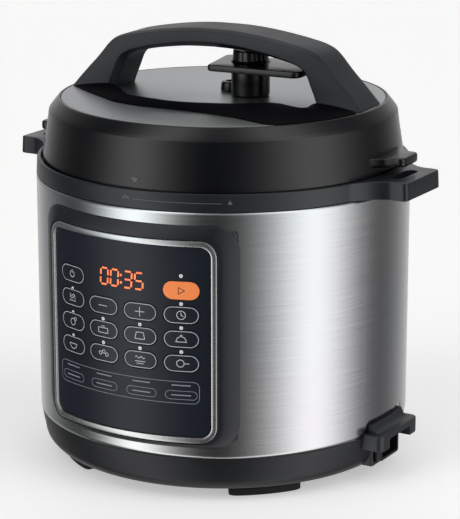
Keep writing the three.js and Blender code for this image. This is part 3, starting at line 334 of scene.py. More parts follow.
def block(name, low, high, radius=0.0, axis=2, steps=4, edge=0.0):
    """Upright bar over a rounded rectangle: the outline in the two directions across axis, carried
    from low to high along it and closed at both ends by its own centre."""
    across = [k for k in range(3) if k != axis]
    (x0, y0), (x1, y1) = (np.array(low)[across], np.array(high)[across])
    outline = rounded([(x0, y0, radius), (x1, y0, radius), (x1, y1, radius), (x0, y1, radius)], steps)
    return prism(name, outline, low[axis], high[axis], axis, edge)


def prism(name, outline, low, high, axis=2, edge=0.0, steps=3, centre=None):
    """Body over a plan outline from low to high, its edges rounded by edge: rows shrink towards the
    middle by the quarter circle's share, and the last row on each side is the centre itself."""
    centre = outline.mean(0) if centre is None else np.array(centre)
    turn = np.linspace(0, np.pi / 2, steps + 1)
    inset = edge * (1 - np.sin(turn))
    rise = edge * (1 - np.cos(turn))
    insets = np.concatenate([inset, inset[::-1]]) if edge else np.zeros(2)
    heights = np.concatenate([low + rise, high - rise[::-1]]) if edge else np.array([low, high])
    size = np.linalg.norm(outline - centre, axis=1, keepdims=True)
    rows = [centre + (outline - centre) * (1 - gap / size) for gap in insets]
    rows = [0 * outline + centre, *rows, 0 * outline + centre]
    heights = [heights[0], *heights, heights[-1]]
    grid = np.stack([np.insert(row, axis, height, axis=1) for row, height in zip(rows, heights)])
    return surface(name, grid, wrap_columns=True)


HOOD_LOW = INLET_TOP - 11.5
TRAY_HALF = 18.7
TRAY_BACK = BODY_R - 16
combine(base, "DIFFERENCE",
        block("hood_room", (BODY_R - 6 - GAP, inlet_low[1] - GAP, HOOD_LOW - GAP),
              (BASE_R + 10, inlet_high[1] + GAP, base_top + 5)),
        block("tray_room", (TRAY_BACK - GAP, -TRAY_HALF - GAP, inlet_low[2] - GAP),
              (BASE_R + 10, TRAY_HALF + GAP, base_top + 4)))
finished(base, "body", "base_black", base_plastic, "base_shell")

# ------------------------------------------------------------ collar
# Black polypropylene ring clipped over the steel. The lid's rim drops into its recess, and an ear
# with a slot on each side carries the cooker or holds the opened lid upright.
collar_low, collar_high = reach("top_collar")
COLLAR_TOP = collar_high[2]
COLLAR_LOW = wrap_high[2] + GAP
COLLAR_TOP_R = BODY_R - 0.6
LEDGE_R = COLLAR_TOP_R - 2.8
EAR_X = collar_high[0]
EAR_HALF = 27.0
EAR_ROOT_HALF = 46.0
EAR_SLOT_X = BODY_R + 10.5
EAR_SLOT = (9.0, 30.0)       # width and length


def polar(outline, angles):
    """Distance from the axis to an outline that circles it, at each angle: read between its points."""
    around = np.unwrap(np.arctan2(outline[:, 1], outline[:, 0]))
    distance = np.hypot(outline[:, 0], outline[:, 1])
    order = np.argsort(around % (2 * np.pi))
    return np.interp(angles % (2 * np.pi), (around % (2 * np.pi))[order], distance[order], period=2 * np.pi)


def curve(start, control, end, steps=14):
    """Quadratic curve: weights (1-t) squared, 2t(1-t) and t squared on its three points."""
    t = np.linspace(0, 1, steps)[:, None]
    return (1 - t) ** 2 * np.array(start) + 2 * t * (1 - t) * np.array(control) + t ** 2 * np.array(end)


root_x = np.sqrt(BODY_R ** 2 - EAR_ROOT_HALF ** 2)
ear_side = curve((root_x, -EAR_ROOT_HALF), (root_x + 10, -EAR_HALF - 3), (EAR_X - 12, -EAR_HALF))
ear_corner = curve((EAR_X - 4, -EAR_HALF), (EAR_X, -EAR_HALF), (EAR_X, -EAR_HALF + 4), 8)
ear_end = np.stack([np.full(6, EAR_X), np.linspace(-EAR_HALF + 4, 0, 7)[1:]], -1)
ear_half = np.concatenate([ear_side, ear_corner, ear_end])
ear = np.concatenate([ear_half, ear_half[::-1] * (1, -1)])
ear_angles = np.arctan2(ear[:, 1], ear[:, 0])
arc = np.linspace(ear_angles[-1], np.pi - ear_angles[-1], 40)[1:-1]
side_arc = BODY_R * np.stack([np.cos(arc), np.sin(arc)], -1)
plan = np.concatenate([ear, side_arc, -ear, -side_arc])
fine = np.sort(np.concatenate([FULL_TURN, ear_angles, ear_angles + np.pi]) % (2 * np.pi))
collar_angles = fine[np.concatenate([[True], np.diff(fine) > 1e-4])]
ear_limit = (EAR_X - 0.01) / np.maximum(np.abs(np.cos(collar_angles)), 0.1)
outer = np.minimum(polar(plan, collar_angles), ear_limit)
EDGE, LEDGE_EDGE = 0.9, 0.5
bend = np.linspace(0, np.pi / 2, 5)
SHELF = COLLAR_TOP - 4.2     # the lid's rim stands on it
COLLAR_INNER_R = 126.5
SLEEVE_DEPTH, SLEEVE_WALL = 8.0, 2.0          # the sleeve that reaches down inside the steel


def ring_row(radius, height, angles):
    """One row of points round the axis at a height. The radius is a number or one value per angle."""
    return np.stack([radius * np.cos(angles), radius * np.sin(angles), 0 * angles + height], -1)


wall_top = outer - 0.6
rows = [(COLLAR_INNER_R - 8, COLLAR_LOW - SLEEVE_DEPTH), (BODY_R - SLEEVE_WALL, COLLAR_LOW - SLEEVE_DEPTH),
        (BODY_R - SLEEVE_WALL, COLLAR_LOW)]
rows += [(outer - EDGE * (1 - np.sin(b)), COLLAR_LOW + EDGE * (1 - np.cos(b))) for b in bend]
rows += [(wall_top - EDGE * (1 - np.cos(b)), COLLAR_TOP - EDGE * (1 - np.sin(b))) for b in bend]
rows += [(LEDGE_R + LEDGE_EDGE * (1 - np.sin(b)), COLLAR_TOP - LEDGE_EDGE * (1 - np.cos(b)))
         for b in bend[[0, 2, 4]]]
rows += [(LEDGE_R, SHELF), (COLLAR_INNER_R, SHELF), (COLLAR_INNER_R, COLLAR_LOW - 5),
         (COLLAR_INNER_R - 8, COLLAR_LOW - 5)]
collar = surface("collar", np.stack([ring_row(r, z, collar_angles) for r, z in rows]),
                 wrap_rows=True, wrap_columns=True)
slots = [block("slot_cutter", (side * EAR_SLOT_X - EAR_SLOT[0] / 2, -EAR_SLOT[1] / 2, COLLAR_LOW - 5),
               (side * EAR_SLOT_X + EAR_SLOT[0] / 2, EAR_SLOT[1] / 2, COLLAR_TOP + 5),
               EAR_SLOT[0] / 2 - 0.01, steps=10) for side in (-1, 1)]
combine(collar, "DIFFERENCE", *slots)
# Polypropylene with a finer grain than the base: dark, with a soft even sheen.
collar_plastic = moulded("satin_polypropylene", "#191d24", 0.36, 0.5, 0.006)
finished(collar, "body", "collar_black", collar_plastic, "top_collar")

# ------------------------------------------------------------ lid shell
# Glossy black polypropylene dome: a wall that leans in to a soft shoulder, a bevel up to the steel
# disc, and a fin on each side that rests in the ears' slots when the lid is stood on edge.
lid_low, lid_high = reach("lid_shell")
disc_low, disc_high = reach("lid_disc")
LID_TURN = next(np.radians(-joint["range_deg"][0]) for joint in frame["record"]["behaviour"]["joints"]
                if joint["name"] == "lid_turn")
LID_TOP = disc_high[2]
LID_LOW = lid_low[2]
RIM_R = LEDGE_R - 1.2
SHOULDER_R = RIM_R - 5.2
TOP_R = RIM_R - 12.2
DISC_R = disc_high[0]
shoulder_z = LID_TOP - 9.5
lid_profile = rounded([
    (RIM_R - 2.4, LID_LOW, 0.4), (RIM_R, LID_LOW, 0.8), (RIM_R - 0.6, LID_LOW + 5, 3),
    (SHOULDER_R + 1.4, shoulder_z - 10, 12), (SHOULDER_R, shoulder_z + 0.6, 2.2),
    (SHOULDER_R - 1.6, shoulder_z + 2.8, 1.5), (TOP_R, LID_TOP, 1.4), (DISC_R + GAP, LID_TOP, 0.3),
    (DISC_R + GAP, LID_TOP - 2.2, 0), (DISC_R - 7, LID_TOP - 2.2, 0), (DISC_R - 7, LID_TOP - 4.6, 0),
    (SHOULDER_R - 3, shoulder_z - 1, 3)])
lid = turned("lid_shell_moulding", lid_profile)


def turn_lid(points):
    """The lid's own places turned by the angle at which it rests on the body."""
    c, s = np.cos(LID_TURN), np.sin(LID_TURN)
    x, y = points[..., 0], points[..., 1]
    return np.stack([x * c - y * s, x * s + y * c, points[..., 2]], -1)


def on_lid(piece):
    """Turns a finished mesh about the vessel's axis by the lid's resting angle."""
    data = np.empty(len(piece.data.vertices) * 3)
    piece.data.vertices.foreach_get("co", data)
    points = data.reshape(-1, 3) / MM - AXIS
    piece.data.vertices.foreach_set("co", ((turn_lid(points) + AXIS) * MM).ravel())
    piece.data.update()
    return piece


FIN_X = lid_high[0] - 0.2
fin_low, fin_high = COLLAR_TOP + 5.6, COLLAR_TOP + 12.2
fins = []
for side in (-1, 1):
    half_fin = np.concatenate([
        curve((RIM_R - 7, -27), (RIM_R - 1, -21), (RIM_R + 4, -19), 10)[:-1],
        curve((RIM_R + 4, -19), (RIM_R + 8, -15.5), (FIN_X - 7, -14), 6),
        curve((FIN_X - 5, -14), (FIN_X, -14), (FIN_X, -9), 8)])
    outline = np.concatenate([half_fin, half_fin[::-1] * (1, -1)])
    fins.append(prism("fin", outline * (side, 1), fin_low, fin_high, edge=1.6, steps=4))
combine(lid, "UNION", *fins)
on_lid(lid)
# Polypropylene from a polished mould: near black, glossy, with broad soft highlights.
lid_plastic = moulded("gloss_polypropylene", "#07090d", 0.27, 0.8, 0.002, rough_vary=0.03)
finished(lid, "lid", "lid_black", lid_plastic, "lid_shell")

# ------------------------------------------------------------ lid disc
# Pressed stainless disc let into the top of the lid, spun to a satin face with a fine rolled edge.
disc = ring("steel_disc", 0, DISC_R, disc_low[2], LID_TOP - 0.05, (0, 0.3, 0.7, 0))
# Stainless steel, satin spun: faint rings round the middle and a soft sheen.
satin_steel = brushed_metal("satin_stainless_steel", "#a2a4a6", "#adafb1", 0.36, 0.5, 90, 0.0006,
                            anisotropic=0.3)
finished(on_lid(disc), "lid", "satin_steel", satin_steel, "lid_disc")

# ------------------------------------------------------------ handle
# Hollow arch of black polypropylene with a fine grain, screwed to the lid through its two feet.
# Its section is a rounded bar that broadens into the feet.
HANDLE_TOP = reach("lid_handle")[1][2]
SPAN = DISC_R + GAP + 0.25   # half the arch, to the outside of its foot
HALF_WIDTH = 20.0
arch_outer = np.array([(0, 0), (0.10, 0.1), (0.2, 0.8), (0.3, 2), (0.42, 4), (0.55, 6.8), (0.63, 9.2),
                       (0.69, 12.4), (0.735, 17), (0.775, 22.5), (0.82, 28.5), (0.87, 34.5), (0.93, 42),
                       (0.985, HANDLE_TOP - LID_TOP - 0.4)])
arch_inner = np.array([(0, 13.2), (0.10, 13.5), (0.2, 14.2), (0.3, 15.6), (0.39, 17.2), (0.48, 19.4),
                       (0.54, 21.2), (0.59, 24.2), (0.617, 28), (0.632, 32), (0.645, 36), (0.66, 40),
                       (0.678, 45), (0.695, HANDLE_TOP - LID_TOP - 0.4)])


def spread(points, count):
    """A smooth line through points, read at even steps of its length (Catmull-Rom between points)."""
    padded = np.concatenate([2 * points[:1] - points[1:2], points, 2 * points[-1:] - points[-2:-1]])
    t = np.linspace(0, 1, 12, endpoint=False)[:, None, None]
    a, b, c, d = padded[:-3], padded[1:-2], padded[2:-1], padded[3:]
    line = 0.5 * (2 * b + (c - a) * t + (2 * a - 5 * b + 4 * c - d) * t ** 2
                  + (3 * b - a - 3 * c + d) * t ** 3)
    line = np.concatenate([line.transpose(1, 0, 2).reshape(-1, points.shape[1]), points[-1:]])
    along = np.concatenate([[0], np.cumsum(np.linalg.norm(np.diff(line, axis=0), axis=1))])
    even = np.linspace(0, along[-1], count)
    return np.stack([np.interp(even, along, line[:, k]) for k in range(points.shape[1])], -1)


def both_sides(half):
    """An outline from the middle to the right, mirrored to run from the left end to the right end."""
    return np.concatenate([half[:0:-1] * (-1, 1), half])


scale = (SPAN, -1)
outer_line = both_sides(spread(arch_outer * scale, 60)) + (0, HANDLE_TOP)
inner_line = both_sides(spread(arch_inner * scale, 60)) + (0, HANDLE_TOP)
GRIP = (6.6, HALF_WIDTH)     # half the grip's thickness and half its width
bar = rounded([(GRIP[0], 15, 1.2), (4.6, GRIP[1], 0.8), (-2.6, GRIP[1], 1.2), (-GRIP[0], 14, 2),
               (-GRIP[0], -14, 2), (-2.6, -GRIP[1], 1.2), (4.6, -GRIP[1], 0.8), (GRIP[0], -15, 1.2)], 4)
# The bar's four quarters keep their bevels and move apart as the legs grow thicker and broader.
mid, reach_out = (outer_line + inner_line) / 2, (outer_line - inner_line) / 2
thick = np.linalg.norm(reach_out, axis=1)
outward = reach_out / thick[:, None]
low_share = np.clip((LID_TOP + 12 - mid[:, 1]) / 12, 0, 1)
up = bar[:, 0] + np.sign(bar[:, 0]) * (thick[:, None] - GRIP[0])
across = bar[:, 1] + np.sign(bar[:, 1]) * low_share[:, None] ** 2
grid = np.stack([mid[:, :1] + outward[:, :1] * up, across, mid[:, 1:] + outward[:, 1:] * up], -1)
grid = np.concatenate([grid[:1] * 0 + grid[:1].mean(1, keepdims=True), grid,
                       grid[-1:] * 0 + grid[-1:].mean(1, keepdims=True)])
handle = surface("lid_handle_arch", grid, wrap_columns=True, sharp=32)
# Polypropylene with a fine spark-eroded grain, about half a millimetre: dark and dull.
handle_plastic = moulded("grained_polypropylene", "#161a21", 0.47, 0.7, 0.03)
finished(on_lid(handle), "lid", "handle_black", handle_plastic, "lid_handle")

# ------------------------------------------------------------ handle skirt
# Thin black moulding in front of the valve that joins the handle's feet. Its front edge lies on the
# lid and its surface rises to a low lip behind.
SKIRT_FRONT = np.array([(-112, -21.4), (-104, -28), (-92, -37), (-73, -50), (-54, -61.5), (-29, -67),
                        (8, -67.2), (41, -72), (60, -78.5), (74, -83.5), (84, -82.5), (96, -69),
                        (108, -48), (116, -21.4)], float)
SKIRT_BACK = np.array([(-79, -21.4), (-75, -26), (-68, -32), (-60, -41), (-50, -51), (-38, -55),
                       (-24, -57.5), (-10, -59.5), (3, -58), (18, -53), (33, -47), (45, -38), (53, -32.5),
                       (62, -32.5), (72, -37.5), (79, -40.5), (84, -37), (83, -28), (82.5, -21.4)], float)
SKIRT_STEPS = 96
skirt_front, skirt_back = spread(SKIRT_FRONT, SKIRT_STEPS), spread(SKIRT_BACK, SKIRT_STEPS)
limit = TOP_R - 1.0
skirt_front *= np.minimum(1, limit / np.linalg.norm(skirt_front, axis=1))[:, None]
skirt_floor, skirt_top = LID_TOP + GAP, reach("handle_skirt")[1][2]
SKIRT_ROWS = ((0, 0), (0.0, 0.06), (0.04, 0.16), (0.15, 0.34), (0.35, 0.6), (0.6, 0.85), (0.8, 0.97),
              (0.94, 1.0), (1.0, 0.92), (1.0, 0))    # share of the way back, share of the height
grid = np.stack([np.insert(skirt_front + (skirt_back - skirt_front) * back, 2,
                           skirt_floor + (skirt_top - skirt_floor) * rise, axis=1)
                 for back, rise in SKIRT_ROWS])
ends = [grid[:, :1] * 0 + grid[:, k].mean(0) for k in (0, -1)]
grid = np.concatenate([ends[0], grid, ends[1]], 1)
skirt = surface("handle_skirt_moulding", grid, wrap_rows=True, sharp=40)
# ABS from a fine matt mould: almost black, with hardly a reflection.
satin_abs = moulded("satin_abs", "#06070a", 0.6, 0.7, 0.01, specular=0.03)
finished(on_lid(skirt), "lid", "handle_black", satin_abs, "handle_skirt")

# ------------------------------------------------------------ release valve and float
# A black sleeve stands on the disc round the exhaust stem. On it turns the lever: a flat plate with a
# round knob moulded on top, fluted for the fingers. The float pin rises through its own low guard.
sleeve_low, sleeve_high = reach("valve_sleeve")
valve_at = ((sleeve_low + sleeve_high) / 2)[:2]
VALVE_R = (sleeve_high[0] - sleeve_low[0]) / 2
stem_low, stem_high = reach("exhaust_stem")
STEM_R = (stem_high[0] - stem_low[0]) / 2
STEM_BORE_R = 2.5
valve_steps = np.linspace(0, 2 * np.pi, 96, endpoint=False)
sleeve = ring("valve_sleeve_moulding", STEM_R + 0.9, VALVE_R, sleeve_low[2], sleeve_high[2],
              (0, 1.2, 0.6, 0.3), valve_steps, valve_at)
finished(sleeve, "lid", "lid_black", lid_plastic, "valve_sleeve")

lever_low, lever_high = reach("valve_lever")
KNOB_R = VALVE_R - 0.8
lever_top = lever_low[2] + 4.6
FLUTE_DEPTH, FLUTE_WIDTH = 0.5, np.radians(24)
# The lever's plan is drawn in the lid's own frame, before the lid is turned to its resting angle.
own = np.array([valve_at[0] * np.cos(LID_TURN) + valve_at[1] * np.sin(LID_TURN),
                -valve_at[0] * np.sin(LID_TURN) + valve_at[1] * np.cos(LID_TURN)])
left, right_end = own[0] - VALVE_R, own[0] + 51.5
lever_front, lever_back = own[1] - 28.5, own[1] + 20
lever_plan = rounded([(left - 7, lever_front, 4), (right_end, lever_front, 6), (right_end, lever_back, 12),
                      (left - 15, lever_back, 6)], 9)
shares = np.linspace(0, 1, 5, endpoint=False)[:, None, None]
lever_plan = lever_plan + (np.roll(lever_plan, -1, 0) - lever_plan) * shares
lever_plan = lever_plan.transpose(1, 0, 2).reshape(-1, 2)
lever = prism("valve_lever_moulding", lever_plan, lever_low[2], lever_top, edge=1.3, steps=5)
KNOB_ROWS = rounded([(0, lever_top - 1, 0), (KNOB_R + 2.4, lever_top - 1, 0),
                     (KNOB_R, lever_top + 1.6, 2.0), (KNOB_R - 0.4, lever_high[2], 1.6),
                     (KNOB_R - 3.5, lever_high[2], 0.6),
                     (KNOB_R - 4.4, lever_high[2] - 0.9, 0.6), (0, lever_high[2] - 0.9, 0)])
knob_turn = np.linspace(0, 2 * np.pi, 144, endpoint=False)
knob_points = revolve(KNOB_ROWS, knob_turn)
flute = np.zeros_like(knob_turn)
for way in (-150, -118, -86, -54, -22, 30, 62, 94, 126, 158):
    off = (knob_turn - np.radians(way) + np.pi) % (2 * np.pi) - np.pi
    flute += np.exp(-(off / (FLUTE_WIDTH / 4)) ** 2)
on_wall = (KNOB_ROWS[:, 0] > KNOB_R - 0.9) & (KNOB_ROWS[:, 1] > lever_top + 1)
shrink = 1 - on_wall[:, None] * flute * FLUTE_DEPTH / KNOB_R
knob_points[..., :2] = knob_points[..., :2] * shrink[..., None] + own
knob = surface("knob", knob_points, wrap_rows=True, wrap_columns=True)
combine(lever, "UNION", knob)
bore = ring("bore", 0, STEM_R + 0.4, lever_low[2] - 1, lever_top + 4, angles=valve_steps, centre=own)
combine(lever, "DIFFERENCE", bore, sharp=35)
finished(on_lid(lever), "release_valve", "lid_black", lid_plastic, "valve_lever")

stem = ring("exhaust_stem_tube", STEM_BORE_R, STEM_R, stem_low[2], stem_high[2], (0, 0.4, 0.6, 0.4),
            valve_steps, valve_at)
finished(stem, "lid", "satin_steel", satin_steel, "exhaust_stem")

guard_low, guard_high = reach("float_guard")
float_low, float_high = reach("float_valve")
float_at = ((float_low + float_high) / 2)[:2]
FLOAT_R = (float_high[0] - float_low[0]) / 2
GUARD_R = (guard_high[0] - guard_low[0]) / 2
guard = turned("float_guard_ring", rounded([
    (FLOAT_R + 0.7, guard_low[2], 0), (GUARD_R, guard_low[2], 0.4), (GUARD_R - 0.8, guard_high[2], 2.6),
    (FLOAT_R + 1.2, guard_high[2], 0.5), (FLOAT_R + 0.7, guard_high[2] - 0.8, 0.3)]), valve_steps, float_at)
finished(guard, "lid", "lid_black", lid_plastic, "float_guard")
pin = ring("float_pin", 0, FLOAT_R, float_low[2], float_high[2], (0, 0.5, 1.0, 0), valve_steps, float_at)
finished(pin, "float_valve", "satin_steel", satin_steel, "float_valve")

# ------------------------------------------------------------ panel surround and bezel
# Matt blue-black frame that slopes from the bezel down to the steel, and inside it a bezel of
# satin metal that holds the control film. Both follow the curve of the body.


def window_line(half, low, high, corner, side=26, turn=9):
    """Rounded rectangle on the front as (distance round, height): four quarter circles in turn, each
    followed by even steps along the straight to the next."""
    t = np.linspace(0, np.pi / 2, turn)
    lines = []
    middles = np.array([(half - corner, low + corner), (half - corner, high - corner),
                        (-half + corner, high - corner), (-half + corner, low + corner)])
    for k, start in enumerate((-np.pi / 2, 0, np.pi / 2, np.pi)):
        arc_line = middles[k] + corner * np.stack([np.cos(start + t), np.sin(start + t)], -1)
        following = start + np.pi / 2
        finish = middles[(k + 1) % 4] + corner * np.array([np.cos(following), np.sin(following)])
        lines += [arc_line, arc_line[-1] + (finish - arc_line[-1]) * np.linspace(0, 1, side)[1:-1, None]]
    return np.concatenate(lines)


def on_front(place, radius):
    """Point on the body's front: the distance round the steel is turned into an angle about the
    axis, 0 at the middle, at the given radius."""
    angle = place[..., 0] / BODY_R
    return np.stack([radius * np.sin(angle), -radius * np.cos(angle), place[..., 1] + 0 * angle], -1)


def bent_frame(name, outer, inner, section, sharp=32):
    """Frame round the front: each section point (share, radius) lies that share of the way from the
    outer line to the inner one, at that radius."""
    grid = np.stack([on_front(outer + (inner - outer) * share, radius) for share, radius in section], 1)
    return surface(name, grid, wrap_rows=True, wrap_columns=True, sharp=sharp)


bezel_low, bezel_high = reach("panel_bezel")
BEZEL_R = -bezel_low[1]
BEZEL_WIDTH = 4.3
face_half = np.arcsin(bezel_high[0] / BEZEL_R) * BODY_R
PANEL_LOW, PANEL_HIGH = bezel_low[2], bezel_high[2]
surround_half = np.arcsin(surround_high[0] / (BODY_R + GAP)) * BODY_R
CARRIER_R = BODY_R + 1 + GAP
bezel_outer = window_line(face_half, PANEL_LOW, PANEL_HIGH, 12)
bezel_inner = window_line(face_half - BEZEL_WIDTH, PANEL_LOW + BEZEL_WIDTH, PANEL_HIGH - BEZEL_WIDTH, 7.7)
surround_outer = window_line(surround_half, surround_low[2], surround_high[2], 18)
surround_inner = window_line(face_half + GAP, PANEL_LOW - GAP, PANEL_HIGH + GAP, 12.35)
surround = bent_frame("panel_surround_frame", surround_outer, surround_inner, [
    (0, BODY_R + GAP), (0.3, BODY_R + GAP), (0.34, CARRIER_R), (1, CARRIER_R), (1, BEZEL_R - 1.1),
    (0.985, BEZEL_R - 0.8), (0.95, BEZEL_R - 0.62), (0.88, BEZEL_R - 0.65), (0.7, BEZEL_R - 1.2),
    (0.45, BODY_R + 3.1), (0.2, BODY_R + 1.9), (0.06, BODY_R + 1.2), (0.015, BODY_R + 0.95),
    (0, BODY_R + 0.7)])
# ABS with a fine matt texture, tinted a deep blue grey.
surround_abs = moulded("matt_abs", "#14171f", 0.42, 0.5, 0.012)
finished(surround, "body", "surround_blue", surround_abs, "panel_surround")
bezel = bent_frame("panel_bezel_frame", bezel_outer, bezel_inner, [
    (0, CARRIER_R), (1, CARRIER_R), (1, BEZEL_R - 0.9), (0.93, BEZEL_R - 0.3), (0.8, BEZEL_R),
    (0.25, BEZEL_R), (0.1, BEZEL_R - 0.25), (0, BEZEL_R - 0.9)])
# Plated ABS, satin chrome: mid grey metal with a soft even sheen.
satin_chrome = brushed_metal("satin_chrome", "#c6c8c9", "#d4d6d7", 0.30, 0.6, 12, 0.001)
finished(bezel, "body", "satin_steel", satin_chrome, "panel_bezel")

# ------------------------------------------------------------ control film
# Glossy blue-black film over the panel with a hole for every key. Its lines, dots and signs are
# printed in light grey and stand up by the thickness of the ink.
FACE_R = -reach("panel_face")[0][1]
FILM = 1.6
film_line = window_line(face_half - BEZEL_WIDTH - GAP, PANEL_LOW + BEZEL_WIDTH + GAP,
                        PANEL_HIGH - BEZEL_WIDTH - GAP, 7.35)


def front_patch(name, outline, inner, outer, edge=0.0, rings=10, sharp=32, dome=0.0):
    """Solid patch on the front over an outline: rings shrink evenly from the outline to its middle
    on the outer radius and grow again on the inner one. edge rounds the front's rim and dome
    lifts its middle."""
    centre = (outline.max(0) + outline.min(0)) / 2
    shares = np.linspace(1, 0, rings + 1)
    size = np.linalg.norm(outline - centre, axis=1, keepdims=True)
    turn = np.linspace(0, np.pi / 2, 5)
    rim = [on_front(centre + (outline - centre) * (1 - edge * (1 - np.cos(b)) / size),
                    outer - edge * (1 - np.sin(b))) for b in turn] if edge else []
    near = outline - (outline - centre) * edge / size
    top = [on_front(centre + (near - centre) * share, outer + dome * (1 - share ** 2)) for share in shares]
    back = [on_front(centre + (outline - centre) * share, inner + 0 * share) for share in shares[::-1]]
    return surface(name, np.stack([*rim, *top, *back]), wrap_rows=True, wrap_columns=True, sharp=sharp)


film = front_patch("control_film", film_line, FACE_R - FILM, FACE_R, rings=40)
KEY_NODES = sorted(name for name in frame["nodes"] if name.startswith("key_"))
key_low, key_high = reach(KEY_NODES[0])
KEY_WIDTH, KEY_HEIGHT = 25.0, key_high[2] - key_low[2]
press_ways = {joint["child"]: joint["axis"] for joint in frame["record"]["behaviour"]["joints"]}


def key_place(name):
    """Middle of a key on the front: the distance round the body to the line it is pressed along, and
    the middle of its height."""
    low, high = reach(name)
    inward_x, inward_y = press_ways[name][:2]
    return np.array([np.arctan2(-inward_x, inward_y) * BODY_R, (low[2] + high[2]) / 2])


def pill(width, height, steps=12):
    """Bar with round ends about the origin."""
    r = height / 2
    t = np.linspace(-np.pi / 2, np.pi / 2, steps)
    right_end = np.stack([width / 2 - r + r * np.cos(t), r * np.sin(t)], -1)
    straight = np.linspace(width / 2 - r, -width / 2 + r, 8)[1:-1]
    top = np.stack([straight, 0 * straight + r], -1)
    half = np.concatenate([right_end, top])
    return np.concatenate([half, -half])


cutters = [front_patch("key_room", key_place(name) + pill(KEY_WIDTH + 0.7, KEY_HEIGHT + 0.7), FACE_R - 8,
                       FACE_R + 4, rings=1) for name in KEY_NODES]
combine(film, "DIFFERENCE", *cutters)
# Polycarbonate film, hard coated: very dark blue with clear reflections.
film_gloss = moulded("gloss_control_film", "#1b202a", 0.3, 1.2, 0.0005, specular=0.25, rough_vary=0.02,
                     vary=0.05)
finished(film, "body", "gloss_panel", film_gloss, "panel_face")

INK = 0.05                   # how far print stands proud, in millimetres


def printed(name, outlines, radius, finish, body="body", slot="gloss_panel", width=None):
    """Print on the front. Each outline is drawn as a closed or open line of that width: its two edges lie
    half the width to each side, square to its run."""
    meshes = [stroke(line, radius, width, closed) for line, closed in outlines]
    points = np.concatenate([m[0] for m in meshes])
    starts = np.cumsum([0] + [len(m[0]) for m in meshes[:-1]])
    faces = np.concatenate([m[1] + start for m, start in zip(meshes, starts)])
    mesh = bpy.data.meshes.new(name)
    mesh.from_pydata((points + AXIS) * MM, [], faces)
    piece = bpy.data.objects.new(name, mesh)
    bpy.context.scene.collection.objects.link(piece)
    smooth(piece, True, 30)
    return finished(piece, body, slot, finish)


def stroke(line, radius, width, closed):
    """Flat bar of a width along a line on the front, INK thick: four corner lines joined by faces."""
    if closed:
        run = np.roll(line, -1, 0) - np.roll(line, 1, 0)
    else:
        run = np.gradient(line, axis=0)
    across = np.stack([-run[:, 1], run[:, 0]], -1) / np.linalg.norm(run, axis=1, keepdims=True)
    sides = [line + across * width / 2, line - across * width / 2]
    corners = np.stack([on_front(sides[0], radius), on_front(sides[1], radius),
                        on_front(sides[1], radius + INK), on_front(sides[0], radius + INK)], 1)
    count = len(line)
    i, j = np.meshgrid(np.arange(count if closed else count - 1), np.arange(4), indexing="ij")
    following, beside = (i + 1) % count, (j + 1) % 4
    faces = np.stack([i * 4 + j, i * 4 + beside, following * 4 + beside, following * 4 + j], -1)
    faces = faces.reshape(-1, 4)
    if not closed:
        last = (count - 1) * 4
        faces = np.concatenate([faces, [[3, 2, 1, 0], [last, last + 1, last + 2, last + 3]]])
    return corners.reshape(-1, 3), faces


# Printing ink, light grey and matt.
light_ink = moulded("light_grey_ink", "#c4c8cd", 0.5, 0.3, 0.001, vary=0.04)
dim_ink = moulded("dim_grey_ink", "#868c96", 0.5, 0.3, 0.001, vary=0.04)
lit_dot = moulded("white_lens_dot", "#e8eaec", 0.3, 0.3, 0.001, vary=0.02)
LOWER_FRAME = (-58.0, 56.0, 74.5, 90.0)
frame_line = rounded([(LOWER_FRAME[0], LOWER_FRAME[2], 4), (LOWER_FRAME[1], LOWER_FRAME[2], 4),
                      (LOWER_FRAME[1], LOWER_FRAME[3], 4), (LOWER_FRAME[0], LOWER_FRAME[3], 4)], 6)


def finely(line, step=2.0, closed=True):
    """A line read at even steps of its length."""
    path = np.concatenate([line, line[:1]]) if closed else line
    along = np.concatenate([[0], np.cumsum(np.linalg.norm(np.diff(path, axis=0), axis=1))])
    count = max(4, int(along[-1] / step))
    even = np.linspace(0, along[-1], count, endpoint=not closed)
    return np.stack([np.interp(even, along, path[:, k]) for k in (0, 1)], -1)


PRESET_COLUMNS = (-44.5, -14.7, 15.1, 43.5)
PRESET_SIZE = (22.0, 6.0)
preset_lines = [(finely(np.array([s, 80.3]) + pill(*PRESET_SIZE), 0.8), True) for s in PRESET_COLUMNS]
printed("panel_frame_print", [(finely(frame_line, 1.6), True), *preset_lines], FACE_R, dim_ink, width=0.35)
label_lines = [(finely(np.array([(s - w, z), (s + w, z)]), 1.0, False), False)
               for s in PRESET_COLUMNS for w, z in ((6.5, 87.4), (6.8, 80.3))]
printed("preset_print", label_lines, FACE_R, dim_ink, width=0.8)
DOTS = {1: (144.2, 126.9, 109.9), 2: (128.0, 110.9), 3: (128.3, 111.3), 4: (165.2, 145.5, 128.5, 111.4)}
dots = [np.array([key_place(f"key_{column}_1")[0], z]) + pill(1.7, 1.69, 8)
        for column, heights in DOTS.items() for z in heights]
printed("indicator_dots", [(finely(line, 0.4), True) for line in dots], FACE_R, lit_dot, width=0.9)

# ------------------------------------------------------------ keys
# Fourteen glossy plastic keys with a light printed edge and a plain sign each; the start key is
# moulded in orange. Each moves in by a fraction of a millimetre.
KEY_PROUD = 0.25
# ABS from a polished mould, in dark blue grey and in orange: smooth, with soft reflections.
key_gloss = moulded("gloss_key_abs", "#1d222c", 0.28, 0.8, 0.001, specular=0.3, rough_vary=0.02)
orange_abs = moulded("orange_abs", "#ff8f4c", 0.32, 0.8, 0.002, vary=0.03, rough_vary=0.02)
arc_steps = np.linspace(0, 1, 13)


def arc_line(cx, cy, r, start, end):
    """Part of a circle, from a start angle to an end angle in degrees."""
    a = np.radians(start + (end - start) * arc_steps)
    return np.stack([cx + r * np.cos(a), cy + r * np.sin(a)], -1)


